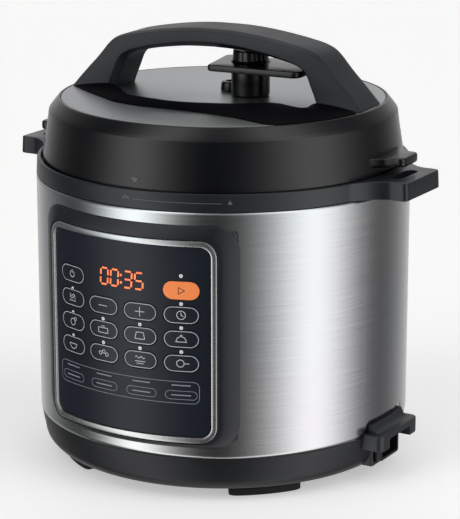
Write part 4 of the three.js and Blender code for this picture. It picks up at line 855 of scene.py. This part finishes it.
def bar_line(*points):
    return finely(np.array(points, float), 0.5, False)


def wave(width, height, waves, z=0.0):
    """Sine wave about the height z."""
    x = np.linspace(-width / 2, width / 2, 24)
    return np.stack([x, z + height / 2 * np.sin(x / width * waves * 2 * np.pi)], -1)


SIGNS = {                    # plain line signs, in millimetres about the key's middle
    "key_1_4": [arc_line(0, 0, 2.3, 120, 420), bar_line((0, 0.6), (0, 3.2))],
    "key_1_3": [wave(6, 1.3, 1.5, 1.8), wave(6, 1.3, 1.5, 0), bar_line((-3.4, -2.2), (3.4, -2.2))],
    "key_1_2": [arc_line(0, -0.4, 2.4, 0, 360), arc_line(2.6, 2.0, 1.1, 0, 360)],
    "key_1_1": [bar_line((-4, 0.8), (4, 0.8)), arc_line(0, 0.8, 3.6, 180, 360)],
    "key_2_3": [bar_line((-3.6, 0), (3.6, 0))],
    "key_2_2": [bar_line((-4, 1.2), (-4, -2.4), (4, -2.4), (4, 1.2), (-4, 1.2)),
                bar_line((-1.4, 2.4), (1.4, 2.4))],
    "key_2_1": [arc_line(-2.5, 0, 1.2, 0, 360), arc_line(0.4, 1.2, 1.2, 0, 360),
                arc_line(2.9, -0.6, 1.2, 0, 360)],
    "key_3_3": [bar_line((-3.4, 0), (3.4, 0)), bar_line((0, -3.4), (0, 3.4))],
    "key_3_2": [bar_line((-2.6, 2.4), (-3.6, -2.4), (3.6, -2.4), (2.6, 2.4), (-2.6, 2.4))],
    "key_3_1": [wave(7, 1.4, 2, 1.6), bar_line((-3.8, -1.2), (3.8, -1.2)),
                bar_line((-2.6, -2.8), (2.6, -2.8))],
    "key_4_4": [bar_line((-1.8, -2.4), (2.6, 0), (-1.8, 2.4), (-1.8, -2.4))],
    "key_4_3": [arc_line(0, 0, 3.0, 0, 360), bar_line((0, 1.9), (0, 0), (1.6, -0.9))],
    "key_4_2": [arc_line(0, -1.4, 3.4, 0, 180), bar_line((-4, -1.8), (4, -1.8)),
                bar_line((-0.8, 3), (0.8, 3))],
    "key_4_1": [arc_line(-0.6, 0, 2.6, 0, 360), bar_line((2.2, 0), (5.4, 0))],
}
for name in KEY_NODES:
    middle_place = key_place(name)
    start_key = name == "key_4_4"
    key = front_patch(name + "_cap", middle_place + pill(KEY_WIDTH, KEY_HEIGHT), FACE_R - FILM - 0.2,
                      FACE_R + KEY_PROUD - 0.08, edge=0.5, rings=8, dome=0.08)
    slot, finish = ("key_orange", orange_abs) if start_key else ("key_dark", key_gloss)
    finished(key, name, slot, finish, name)
    marks = [(middle_place + line, False) for line in SIGNS[name]]
    ink = key_gloss if start_key else light_ink
    printed(name + "_sign", marks, FACE_R + KEY_PROUD - 0.04, ink, name, "key_dark", width=0.5)
    if not start_key:
        rim = finely(middle_place + pill(KEY_WIDTH - 1.7, KEY_HEIGHT - 1.7), 0.8)
        printed(name + "_edge", [(rim, True)], FACE_R + KEY_PROUD - 0.1, light_ink, name, "key_dark",
                width=0.4)

# ------------------------------------------------------------ display
# Four seven-segment digits and a colon shine orange red through the film above the keys.
DISPLAY_MIDDLE = np.array([0.5, 159.0])
DIGIT = (6.0, 11.5)          # width and height of a digit
DIGIT_STEP = 8.4
SEGMENT_WIDTH = 1.2
LEAN = 0.06                  # of the height


def segments(text_digit):
    """The lit bars of a seven-segment digit, each a line between two corners of its box."""
    w, h = DIGIT[0] / 2, DIGIT[1] / 2
    ends = {"a": ((-w, h), (w, h)), "b": ((w, h), (w, 0)), "c": ((w, 0), (w, -h)), "d": ((-w, -h), (w, -h)),
            "e": ((-w, 0), (-w, -h)), "f": ((-w, h), (-w, 0)), "g": ((-w, 0), (w, 0))}
    lit = {0: "abcdef", 3: "abcdg", 5: "acdfg"}[text_digit]
    lines = []
    for bar in lit:
        first, last = (np.array(end, float) for end in ends[bar])
        gap = (last - first) / np.linalg.norm(last - first) * 0.85
        line = np.linspace(first + gap, last - gap, 5)
        lines.append(line + np.stack([line[:, 1] * LEAN, 0 * line[:, 1]], -1))
    return lines


digit_lines = []
for place, digit in zip((-1.62, -0.62, 0.62, 1.62), (0, 0, 3, 5)):
    offset = DISPLAY_MIDDLE + (place * DIGIT_STEP, 0)
    digit_lines += [(line + offset, False) for line in segments(digit)]
digit_lines += [(DISPLAY_MIDDLE + (0, z) + pill(1.0, 0.99, 8) * 0.6, True) for z in (-2.6, 2.6)]
# Light emitting diodes behind the film: orange red, slightly uneven from point to point.
glow, tree, out = material("orange_led")
coords = node(tree, "TexCoord").outputs["Object"]
spots = node(tree, "TexNoise", None, Vector=coords, Scale=300.0)
lamp_colour = ramp(tree, spots.outputs["Fac"], 0.3, 0.7, linear("#ff6a32"), linear("#ff8450"))
skin = node(tree, "BsdfPrincipled", None, Base_Color=lamp_colour, Roughness=0.3, Emission_Color=lamp_colour,
            Emission_Strength=0.85)
tree.links.new(skin.outputs[0], out.inputs[0])
printed("display_digits", digit_lines, FACE_R, glow, slot="key_orange", width=SEGMENT_WIDTH)

# ------------------------------------------------------------ power inlet
# Polypropylene housing on the right side: a tray under a broad hood, and a concave fillet from the
# hood up the steel. The socket in its mouth is moulded with three flat pins.
HOOD_HALF = inlet_high[1]
TRAY_FRONT = BODY_R - 2
HOOD_BACK = BODY_R - 6
MOUTH_HALF, MOUTH_LOW, MOUTH_HIGH = 16.5, inlet_low[2] + 2.2, HOOD_LOW + 7.1
HOOD_CORNER = 5
hood_line = rounded([(HOOD_BACK, -HOOD_HALF, 0), (inlet_high[0], -HOOD_HALF, HOOD_CORNER),
                     (inlet_high[0], HOOD_HALF, HOOD_CORNER), (HOOD_BACK, HOOD_HALF, 0)])
inlet = prism("power_inlet_housing_moulding", hood_line, HOOD_LOW, INLET_TOP, edge=0.8)
fillet_line = np.concatenate([[(BODY_R - 3, INLET_TOP - 0.5), (BODY_R + 7, INLET_TOP - 0.5)],
                              curve((BODY_R + 6.8, INLET_TOP), (BODY_R + 1, INLET_TOP + 0.4),
                                    (BODY_R + 0.2, inlet_high[2]), 12), [(BODY_R - 3, inlet_high[2])]])
fillet = prism("fillet", fillet_line, -HOOD_RISE_HALF, HOOD_RISE_HALF, axis=1,
               centre=(BODY_R - 2, INLET_TOP))
tray = block("tray", (TRAY_BACK, -TRAY_HALF, inlet_low[2]), (TRAY_FRONT, TRAY_HALF, INLET_TOP - 1), 1.5)
combine(inlet, "UNION", fillet, tray)
combine(inlet, "DIFFERENCE", block("mouth", (TRAY_BACK + 4, -MOUTH_HALF, MOUTH_LOW),
                                   (inlet_high[0] + 5, MOUTH_HALF, MOUTH_HIGH), 2, axis=0))
# Polypropylene with a medium grain: dark grey, a little lighter than the base, and dull.
inlet_plastic = moulded("grained_inlet_polypropylene", "#25272b", 0.4, 0.6, 0.012)
finished(inlet, "body", "base_black", inlet_plastic, "power_inlet_housing")
socket_low, socket_high = reach("power_inlet_socket")
socket_moulding = block("power_inlet_socket_moulding", socket_low, socket_high, 2.0, axis=0, edge=0.4)
SOCKET_WALLS = np.array([2.65, 2.2, 2.0])     # behind, beside, and above and below the pins
combine(socket_moulding, "DIFFERENCE",
        block("recess", socket_low + SOCKET_WALLS, socket_high + (5, -2.2, -2.0), 1.5, axis=0))
finished(socket_moulding, "body", "base_black", base_plastic, "power_inlet_socket")
# Brass, nickel plated: warm pale metal with a soft shine.
plated_brass = brushed_metal("nickel_plated_brass", "#b5afa2", "#c5bfb2", 0.25, 0.2, 5, 0.001)
for pin_name in sorted(name for name in frame["nodes"] if name.startswith("power_inlet_pin")):
    low, high = reach(pin_name)
    blade = block(pin_name + "_blade", low, high, 0.5, axis=0, edge=0.3)
    finished(blade, "body", "aluminium", plated_brass, pin_name)

# ------------------------------------------------------------ feet and bottom cover
# Four rubber feet, each a short stretch of a ring with rounded ends, pressed into the base. A thin
# polypropylene cover with five slots is screwed over the opening in its middle.
# Nitrile rubber from a steel mould: near black and matt.
moulded_rubber = moulded("moulded_rubber", "#17181a", 0.7, 0.8, 0.03, specular=0.3)
FEET = {"foot_front_left": -128, "foot_front_right": -45, "foot_back_right": 45, "foot_back_left": 128}
FOOT_R, FOOT_HALF_WIDTH, FOOT_HALF_ANGLE = 112.0, 8.0, 13.0
foot_share = np.sin(np.linspace(-np.pi / 2, np.pi / 2, 49))
foot_high = reach("foot_front_left")[1][2]
foot_profile = rounded([(FOOT_R - FOOT_HALF_WIDTH, 0, 1), (FOOT_R + FOOT_HALF_WIDTH, 0, 1),
                        (FOOT_R + FOOT_HALF_WIDTH, foot_high, 0.5),
                        (FOOT_R - FOOT_HALF_WIDTH, foot_high, 0.5)])
foot_centre = np.array([FOOT_R, foot_high / 2])
for foot_name, way_deg in FEET.items():
    turn = np.radians(way_deg + FOOT_HALF_ANGLE * foot_share)
    size = np.clip(1 - np.abs(foot_share) ** 8, 0, 1)[:, None] ** 0.125
    r, z = (foot_centre[:, None, None] + (foot_profile - foot_centre).T[:, :, None] * size.T[None])
    foot = surface(foot_name + "_pad", np.stack([r * np.cos(turn), r * np.sin(turn), z], -1),
                   wrap_rows=True)
    finished(foot, "body", "rubber", moulded_rubber, foot_name)
cover_low, cover_high = reach("bottom_cover")
bottom = ring("bottom_cover_plate", 0, cover_high[0], cover_low[2], cover_high[2], (0, 0.6, 0.4, 0))
SLOT_PITCH, SLOT_HALF_WIDTH, SLOT_HALF_LENGTH = 14, 2, 28
combine(bottom, "DIFFERENCE", *[
    block("air_slot", (x - SLOT_HALF_WIDTH, -SLOT_HALF_LENGTH, 0),
          (x + SLOT_HALF_WIDTH, SLOT_HALF_LENGTH, 12), SLOT_HALF_WIDTH - 0.01)
    for x in SLOT_PITCH * np.arange(-2, 3)])
finished(bottom, "body", "base_black", base_plastic, "bottom_cover")

# ------------------------------------------------------------ condensate cup
# Clear polycarbonate cup that hangs behind the body and slides out. It holds the water that runs off
# the rim, and hooks under a polypropylene rail on the collar.
# Polycarbonate, injection moulded: see-through, with a faint uneven haze.
clear, tree, out = material("clear_polycarbonate")
coords = node(tree, "TexCoord").outputs["Object"]
ripple = node(tree, "TexNoise", None, Vector=coords, Scale=40.0, Detail=1.0)
tint = ramp(tree, ripple.outputs["Fac"], 0.3, 0.7, linear("#d9dee2"), linear("#e4e8eb"))
haze = node(tree, "MapRange", None, Value=ripple.outputs["Fac"], To_Min=0.08, To_Max=0.16)
skin = node(tree, "BsdfPrincipled", None, Base_Color=tint, Roughness=haze.outputs[0], IOR=1.58,
            Transmission_Weight=0.85)
tree.links.new(skin.outputs[0], out.inputs[0])
CUP_WALL, CUP_CORNER = 1.6, 6.0
cup_low, cup_high = reach("condensate_cup")
cup = block("condensate_cup_moulding", cup_low, cup_high, CUP_CORNER, edge=0.7, steps=8)
combine(cup, "DIFFERENCE", block("cup_room", cup_low + CUP_WALL, cup_high + (-CUP_WALL, -CUP_WALL, 5),
                                 CUP_CORNER - CUP_WALL, steps=8))
finished(cup, "condensate_cup", "clear_plastic", clear, "condensate_cup")
rail_low, rail_high = reach("cup_rail")
RAIL_R = BODY_R + GAP
rail_turn = np.linspace(-1, 1, 25) * np.arcsin(rail_high[0] / RAIL_R)
rail_arc = RAIL_R * np.stack([np.sin(rail_turn), np.cos(rail_turn)], -1)
rail_back = rounded([(rail_high[0], 100, 0), (rail_high[0], rail_high[1], 3),
                     (rail_low[0], rail_high[1], 3), (rail_low[0], 100, 0)])[1:-1]
rail = prism("cup_rail_moulding", np.concatenate([rail_arc, rail_back]), rail_low[2], rail_high[2],
             centre=(0, (RAIL_R + rail_high[1]) / 2))
combine(rail, "DIFFERENCE", block("rail_slot", (-8, BODY_R - 2, rail_low[2] - 1),
                                  (8, BODY_R + 6, rail_high[2] + 1), 2))
finished(rail, "body", "collar_black", collar_plastic, "cup_rail")

# ------------------------------------------------------------ cooking vessel
# The drawn steel pot lifts out of a pressed aluminium liner. The liner's ring of lugs locks the lid,
# and its floor is open over the heater.
WALL = 1.5
pot_low, pot_high = reach("inner_pot")
POT_R = reach("inner_cover_plate")[1][0] + 1.2
pot = turned("cooking_pot", rounded([
    (0, pot_low[2], 0), (POT_R, pot_low[2], 14), (POT_R, pot_high[2] - WALL, 0.2),
    (pot_high[0], pot_high[2] - WALL, 0.6), (pot_high[0], pot_high[2], 0.7),
    (POT_R - WALL, pot_high[2], 1.4), (POT_R - WALL, pot_low[2] + WALL, 12.5), (0, pot_low[2] + WALL, 0)], 8))
# Stainless steel, deep drawn and polished by machine: bright, with fine lines round the wall.
pot_steel = brushed_metal("drawn_stainless_steel", "#bbbdbf", "#c9cbcd", 0.2, 0.5, 80, 0.001)
finished(pot, "pot", "satin_steel", pot_steel, "inner_pot")
liner_low, liner_high = reach("liner_pot")
LINER_R = POT_R + 1.2 + WALL
LINER_OPENING = 98.0         # the heater stands in it
LINER_LIP = 12.5             # upright edge of the liner's flange
FLANGE = liner_high[2] - LINER_LIP
liner = turned("liner_pressing", rounded([
    (LINER_OPENING, liner_low[2], 0.4), (LINER_R, liner_low[2], 3), (LINER_R, FLANGE, 0.2),
    (liner_high[0], FLANGE, 1.6), (liner_high[0], liner_high[2], 0.5),
    (liner_high[0] - WALL, liner_high[2], 0.5),
    (liner_high[0] - WALL, FLANGE + WALL, 0.4), (LINER_R - WALL, FLANGE + WALL, 1.2),
    (LINER_R - WALL, liner_low[2] + WALL, 1.5),
    (LINER_OPENING, liner_low[2] + WALL, 0.4)]))
# Aluminium sheet, pressed and left bare: pale grey with a dull sheen.
pressed_aluminium = brushed_metal("pressed_aluminium", "#b3b5b8", "#c3c5c8", 0.34, 0.7, 30, 0.004)
finished(liner, "body", "aluminium", pressed_aluminium, "liner_pot")
LUG_COUNT = 8


def lug_radius(angles, first, lug, gap):
    """Radius that is lug over half of each eighth of a turn and gap over the rest, from an angle on."""
    share = ((angles - np.radians(first)) / (2 * np.pi) * LUG_COUNT) % 1
    return np.where(share < 0.5, gap, lug)


ring_low, ring_high = reach("locking_ring")
LUG_LENGTH, LUG_CUT = 6.2, 2.6                # from the ring's outside, and how far the gaps go back
LUG_TIP = ring_high[0] - LUG_LENGTH
LUG_HALF = 360 / LUG_COUNT / 4                # half of a lug's angle, in degrees
lug_turn = np.linspace(0, 2 * np.pi, 640, endpoint=False)
lug_inner = lug_radius(lug_turn, -LUG_HALF, LUG_TIP, LUG_TIP + LUG_CUT)
flat_rows = [(lug_inner + 0.3, ring_low[2]), (ring_high[0], ring_low[2]), (ring_high[0], ring_high[2]),
             (lug_inner + 0.3, ring_high[2]), (lug_inner, ring_high[2] - 0.3), (lug_inner, ring_low[2] + 0.3)]
locking = surface("locking_ring_pressing", np.stack([ring_row(r, z, lug_turn) for r, z in flat_rows]),
                  wrap_rows=True, wrap_columns=True)
finished(locking, "body", "satin_steel", pot_steel, "locking_ring")

# ------------------------------------------------------------ heater and sensor
# A cast aluminium plate with a sealed element under it heats the pot. A sprung sensor rises through
# its middle, and a pressed aluminium shield keeps the heat from the electronics.
# Aluminium, gravity cast: even grey, matt and slightly rough.
cast_aluminium = moulded("cast_aluminium", "#8f9193", 0.5, 1.1, 0.04, vary=0.1)
heater_low, heater_high = reach("heating_plate")
sensor_low, sensor_high = reach("thermostat_sensor")
SENSOR_R = sensor_high[0]
heater = ring("heating_plate_casting", SENSOR_R + 1.2, heater_high[0], heater_low[2], heater_high[2],
              (0.5, 2, 1, 0.8))
finished(heater, "body", "aluminium", cast_aluminium, "heating_plate")
ELEMENT_INSET, TUBE_R = 22, 4.6
ELEMENT_R = heater_high[0] - ELEMENT_INSET
ring_turn = np.linspace(0, 2 * np.pi, 24, endpoint=False)
tube = np.stack([ELEMENT_R + TUBE_R * np.cos(ring_turn),
                 heater_low[2] - GAP - TUBE_R + TUBE_R * np.sin(ring_turn)], -1)
finished(turned("heating_element_tube", tube), "body", "satin_steel", pot_steel, "heating_element")
shield_low, shield_high = reach("heat_shield")
SENSOR_STEM_R, SHIELD_WALL = 4.5, 1.2
SHIELD_HOLE = SENSOR_STEM_R + 0.8
shield = turned("heat_shield_pressing", rounded([
    (SHIELD_HOLE, shield_low[2], 0.3), (heater_high[0] - 4, shield_low[2], 3),
    (LINER_R - 4, shield_high[2] - SHIELD_WALL, 2), (shield_high[0], shield_high[2] - SHIELD_WALL, 0.3),
    (shield_high[0], shield_high[2], 0.3), (LINER_R - 4.6, shield_high[2], 2),
    (heater_high[0] - 4.6, shield_low[2] + SHIELD_WALL, 3), (SHIELD_HOLE, shield_low[2] + SHIELD_WALL, 0.3)]))
finished(shield, "body", "aluminium", pressed_aluminium, "heat_shield")
HEAD = 7.0                   # height of the sensor's head
sensor = turned("thermostat_sensor_cap", rounded([
    (0, sensor_low[2], 0), (SENSOR_STEM_R, sensor_low[2], 0.6), (SENSOR_STEM_R, sensor_high[2] - HEAD, 0.3),
    (SENSOR_R, sensor_high[2] - HEAD, 0.6), (SENSOR_R, sensor_high[2], 2), (0, sensor_high[2], 0)]))
finished(sensor, "sensor", "aluminium", pressed_aluminium, "thermostat_sensor")

# ------------------------------------------------------------ sensor spring
# Coil of drawn spring wire round the sensor's stem, between the shield and the sensor's head. It is
# built once, in place, and does not follow the sensor's head.
# Spring steel, drawn to wire: mid grey with a narrow shine.
spring_wire = brushed_metal("drawn_spring_wire", "#a9abad", "#babcbe", 0.28, 0.3, 8, 0.002)
coil_low, coil_high = reach("sensor_spring")
WIRE_R, COILS, COIL_STEPS = 0.6, 3.5, 170
coil_turn = np.linspace(0, COILS * 2 * np.pi, COIL_STEPS)[:, None]
wire_turn = np.linspace(0, 2 * np.pi, 12, endpoint=False)
wire_r = coil_high[0] - WIRE_R - 0.1 + WIRE_R * np.cos(wire_turn)
rise = np.linspace(coil_low[2] + WIRE_R, coil_high[2] - WIRE_R, COIL_STEPS)[:, None]
coil = np.stack([wire_r * np.cos(coil_turn), wire_r * np.sin(coil_turn),
                 rise + WIRE_R * np.sin(wire_turn)], -1)
coil = np.concatenate([coil[:1] * 0 + coil[:1].mean(1, keepdims=True), coil,
                       coil[-1:] * 0 + coil[-1:].mean(1, keepdims=True)])
spring = surface("thermostat_spring", coil, wrap_columns=True)
spring.data.materials.append(spring_wire)
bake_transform(spring)
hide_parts("sensor_spring")

# ------------------------------------------------------------ under the lid
# A pressed steel plate with eight lugs closes the lid. A loose inner cover hangs from its stud, with a
# silicone ring round its edge that seals on the pot, and a small cap guards the valve's hole.
plate_low, plate_high = reach("pressure_plate")
PLATE_R = LUG_TIP - 0.4      # free of the ring's lugs
lug_outer = lug_radius(lug_turn, LUG_HALF - np.degrees(LID_TURN), PLATE_R, PLATE_R - 3)
INNER = PLATE_R - 6
top = plate_high[2]
plate_rows = [(0, top - 1.6), (INNER - 14, top - 1.6), (INNER - 7, top - 2.9), (INNER - 3.4, top - 4.6),
              (INNER - 1.8, plate_low[2]), (lug_outer - 0.3, plate_low[2]), (lug_outer, plate_low[2] + 0.3),
              (lug_outer, ring_low[2] - GAP - 0.3), (lug_outer - 0.3, ring_low[2] - GAP),
              (INNER, ring_low[2] - GAP), (INNER - 1.6, top - 3.4), (INNER - 7, top - 1.1),
              (INNER - 13.4, top), (0, top)]
closing = surface("pressure_plate_pressing", np.stack([ring_row(r, z, lug_turn) for r, z in plate_rows]),
                  wrap_rows=True, wrap_columns=True)
FLOAT_CLEARANCE, STUD_HOLE_R = 0.6, 4.5
holes = ((STEM_BORE_R, valve_at), (FLOAT_R + FLOAT_CLEARANCE, float_at), (STUD_HOLE_R, (0, 0)))
combine(closing, "DIFFERENCE", *[ring("hole", 0, radius, top - 6, top + 3, angles=valve_steps, centre=place)
                                 for radius, place in holes])
finished(closing, "lid", "satin_steel", pot_steel, "pressure_plate")
under_low, under_high = reach("lid_underside")
under = turned("lid_underside_moulding", rounded([
    (PLATE_R - 4.8, under_low[2], 0.4), (under_high[0], under_low[2], 0.6),
    (under_high[0] - 0.2, under_high[2], 0.5), (PLATE_R - 3.4, under_high[2], 0.4)]))
finished(under, "lid", "lid_black", collar_plastic, "lid_underside")
nut_low, nut_high = reach("stud_nut")
stud_low, stud_high = reach("cover_stud")
nut_turn = np.linspace(0, 2 * np.pi, 48, endpoint=False)
nut = ring("stud_nut_cap", stud_high[0] + GAP, nut_high[0], nut_low[2], nut_high[2],
           (0.2, 0.3, 1, 0.5), nut_turn)
finished(nut, "lid", "satin_steel", pot_steel, "stud_nut")
stud = ring("cover_stud_pin", 0, stud_high[0], stud_low[2], stud_high[2], (0, 0.4, 0.8, 0), nut_turn)
finished(stud, "inner_cover", "satin_steel", pot_steel, "cover_stud")
plate_low, plate_high = reach("inner_cover_plate")
COVER_HOLE_R = 3.0
loose = ring("inner_cover_disc", 0, plate_high[0], plate_low[2], plate_high[2], (0, 0.5, 0.5, 0))
combine(loose, "DIFFERENCE", ring("hole", 0, COVER_HOLE_R, plate_low[2] - 3, plate_high[2] + 3,
                                  angles=valve_steps, centre=valve_at))
finished(loose, "inner_cover", "satin_steel", pot_steel, "inner_cover_plate")
seal_low, seal_high = reach("sealing_ring")
SEAL_INNER = plate_high[0] - 2.5
seal = turned("silicone_sealing_ring", rounded([
    (SEAL_INNER, seal_low[2], 0.4), (seal_high[0], seal_low[2], 1.2), (seal_high[0] - 1, seal_high[2], 1.2),
    (SEAL_INNER, seal_high[2], 0.4), (SEAL_INNER, plate_high[2] + GAP, 0.2),
    (plate_high[0] + GAP, plate_high[2] + GAP, 0), (plate_high[0] + GAP, plate_low[2] - GAP, 0),
    (SEAL_INNER, plate_low[2] - GAP, 0.2)]))
# Silicone rubber, compression moulded: milky white with a soft sheen.
silicone = moulded("milky_silicone", "#d5d6d4", 0.45, 1.0, 0.01, vary=0.04, specular=0.35)
finished(seal, "inner_cover", "silicone", silicone, "sealing_ring")
cap_low, cap_high = reach("anti_block_cap")
CAP_R = (cap_high[0] - cap_low[0]) / 2
guard_cap = turned("anti_block_cap_pressing", rounded([
    (0, cap_low[2], 0), (CAP_R - 1.5, cap_low[2], 1), (CAP_R, cap_low[2] + 2, 1), (CAP_R, cap_high[2], 0.2),
    (CAP_R - 1.5, cap_high[2], 0.2), (CAP_R - 1.5, cap_low[2] + 2, 0.5), (0, cap_low[2] + 1.5, 0)]),
    valve_steps, valve_at)
finished(guard_cap, "inner_cover", "satin_steel", pot_steel, "anti_block_cap")

# ------------------------------------------------------------ pieces that show only inside
# The panel's carrier, display and boards keep their CAD shapes and take a material of their own:
# moulded ABS, smoked resin and an epoxy board.
carrier_abs = moulded("carrier_abs", "#2a2c30", 0.5, 0.6, 0.012)
display_resin = moulded("smoked_display_resin", "#141518", 0.2, 0.8, 0.001)
board_epoxy = moulded("epoxy_circuit_board", "#2c5a3c", 0.4, 1.6, 0.02, vary=0.2)
for node_name, finish in {"panel_carrier": carrier_abs, "display_module": display_resin,
                          "control_board": board_epoxy, "power_board": board_epoxy}.items():
    for place in frame["nodes"][node_name].material_slots:
        place.material = finish

# ------------------------------------------------------------ marks on the lid and the collar
# Printed signs that show how far the lid is turned: a triangle on the lid, and on the collar a small
# padlock, a line and a second triangle.
mark_ink = moulded("grey_mark_ink", "#5d6167", 0.5, 0.3, 0.001, vary=0.04)


def triangle(s, z, width, height):
    """Triangle filled by level strokes, its point down where the height is negative."""
    lines = []
    for share in (0.1, 0.3, 0.5, 0.7, 0.9):
        half = width / 2 * (1 - share)
        level = z + height * (share - 0.5)
        lines.append((np.linspace((s - half, level), (s + half, level), 3), False))
    return lines


MARK_Z = collar_low[2] + 15.0
COLLAR_MARK_R = BODY_R - 0.33                 # the collar's wall leans in a little
printed("collar_line_print", [(np.stack([np.linspace(8, 71, 40), np.full(40, MARK_Z)], -1), False)],
        COLLAR_MARK_R, mark_ink, slot="collar_black", width=0.35)
printed("collar_triangle_print", triangle(76.5, MARK_Z, 5.2, 4.6), COLLAR_MARK_R, mark_ink,
        slot="collar_black", width=0.95)
# The lid's own triangle is printed at the radius that its leaning wall has at that height.
LID_MARK_Z = LID_LOW + 7.2
lid_mark_r = np.interp(LID_MARK_Z, [LID_LOW + 5, shoulder_z - 10], [RIM_R - 0.6, SHOULDER_R + 1.4]) + 0.12
lid_mark = printed("lid_triangle_print", triangle(0.0, LID_MARK_Z, 6.0, -4.0), lid_mark_r, mark_ink, "lid",
                   "lid_black", width=0.85)
on_lid(lid_mark)
lock_sign = [(line + (2.5, MARK_Z - 0.6), False) for line in (
    bar_line((-2.4, -2), (2.4, -2), (2.4, 1.2), (-2.4, 1.2), (-2.4, -2)), arc_line(0, 1.2, 1.5, 0, 180))]
printed("collar_lock_print", lock_sign, COLLAR_MARK_R, mark_ink, slot="collar_black", width=0.55)

# ------------------------------------------------------------ floor, light and camera
# Plain pale floor and soft boxes: one to the left and one to the right give the steel its two
# upright bands, and one overhead lights the lid.
CAMERA_AZIMUTH = np.radians(30.2)
CAMERA_ELEVATION = np.radians(14.92)
CAMERA_DISTANCE = 1668.6
CAMERA_LENS = 156.9
AIM_RIGHT, AIM_HEIGHT = 4.77, 140.3


def seen_from(azimuth, elevation, distance, height=0.0):
    """Point at an azimuth measured from the camera's own side, in millimetres from the axis."""
    a = CAMERA_AZIMUTH + azimuth
    flat = distance * np.cos(elevation)
    return np.array([np.sin(a) * flat, -np.cos(a) * flat, distance * np.sin(elevation) + height])


def aim(thing, place, target):
    """Puts a lamp or the camera at a place, looking at a target, both in millimetres."""
    thing.location = Vector((place + AXIS) * MM)
    thing.rotation_mode = "QUATERNION"
    thing.rotation_quaternion = Vector((target - place) * MM).to_track_quat("-Z", "Y")


floor_mesh = bpy.data.meshes.new("floor")
FLOOR_HALF = 9.0             # in metres
floor_corners = np.array([(-1, -1, 0), (1, -1, 0), (1, 1, 0), (-1, 1, 0)], float) * FLOOR_HALF
floor_mesh.from_pydata(floor_corners, [], [(0, 1, 2, 3)])
floor = bpy.data.objects.new("floor", floor_mesh)
bpy.context.scene.collection.objects.link(floor)
# Matt paper sweep, lit from behind as well, so that it stays nearly white.
pale, tree, out = material("pale_floor")
paper = node(tree, "BsdfDiffuse", None, Color=linear("#e9e9e8"))
lift = node(tree, "Emission", None, Color=(1, 1, 1, 1), Strength=0.42)
both = node(tree, "AddShader", None, i0=paper.outputs[0], i1=lift.outputs[0])
tree.links.new(both.outputs[0], out.inputs[0])
floor_mesh.materials.append(pale)
floor.visible_glossy = False

# The room's light by direction round the cooker: two tall soft bands, and a broad one behind.
BANDS = ((-56, 15, 1.9), (57, 20, 1.75), (180, 32, 0.78))       # azimuth, spread in degrees, strength
ROOM_DIM = 0.02
world = bpy.data.worlds.new("studio")
world.use_nodes = True
bpy.context.scene.world = world
sky = world.node_tree
sky.nodes.clear()
turned_way = node(sky, "Mapping", {"vector_type": "VECTOR"}, Rotation=(0, 0, -CAMERA_AZIMUTH),
                  Vector=node(sky, "TexCoord").outputs["Generated"])
way = node(sky, "SeparateXYZ", None, Vector=turned_way.outputs[0])


def math(operation, *values):
    """Math node of the room's light: the operation on its values."""
    inputs = {f"i{k}": value for k, value in enumerate(values)}
    return node(sky, "Math", {"operation": operation}, **inputs).outputs[0]


azimuth = math("ARCTAN2", way.outputs["X"], math("MULTIPLY", way.outputs["Y"], -1.0))
total = ROOM_DIM
for centre, spread_deg, strength in BANDS:
    near = math("WRAP", math("SUBTRACT", azimuth, np.radians(centre)), np.pi, -np.pi)
    share = math("MULTIPLY", near, 1 / np.radians(spread_deg))
    bell = math("EXPONENT", math("MULTIPLY", math("MULTIPLY", share, share), -0.5))
    total = math("MULTIPLY_ADD", bell, strength, total)
room = node(sky, "Background", None, Color=(1, 1, 1, 1), Strength=total)
seen = node(sky, "Background", None, Color=(1, 1, 1, 1), Strength=0.93)
chosen = node(sky, "MixShader", None, i0=node(sky, "LightPath").outputs["Is Camera Ray"],
              i1=room.outputs[0], i2=seen.outputs[0])
sky.links.new(chosen.outputs[0], sky.nodes.new("ShaderNodeOutputWorld").inputs[0])

data = bpy.data.lights.new("top_box", "AREA")
data.shape = "RECTANGLE"
data.size, data.size_y = 1.2, 1.0
data.energy = 0.5
lamp = bpy.data.objects.new("top_box", data)
bpy.context.scene.collection.objects.link(lamp)
aim(lamp, seen_from(np.radians(-20), np.radians(66), 1300), np.array([0, 0, 150.0]))

camera = bpy.data.objects.new("camera", bpy.data.cameras.new("camera"))
bpy.context.scene.collection.objects.link(camera)
bpy.context.scene.camera = camera
camera.data.lens = CAMERA_LENS
camera.data.sensor_width = 36
right = np.array([np.cos(CAMERA_AZIMUTH), np.sin(CAMERA_AZIMUTH), 0])
target = right * AIM_RIGHT + (0, 0, AIM_HEIGHT)
aim(camera, target + seen_from(0, CAMERA_ELEVATION, CAMERA_DISTANCE), target)
bpy.context.scene.view_settings.view_transform = "Standard"
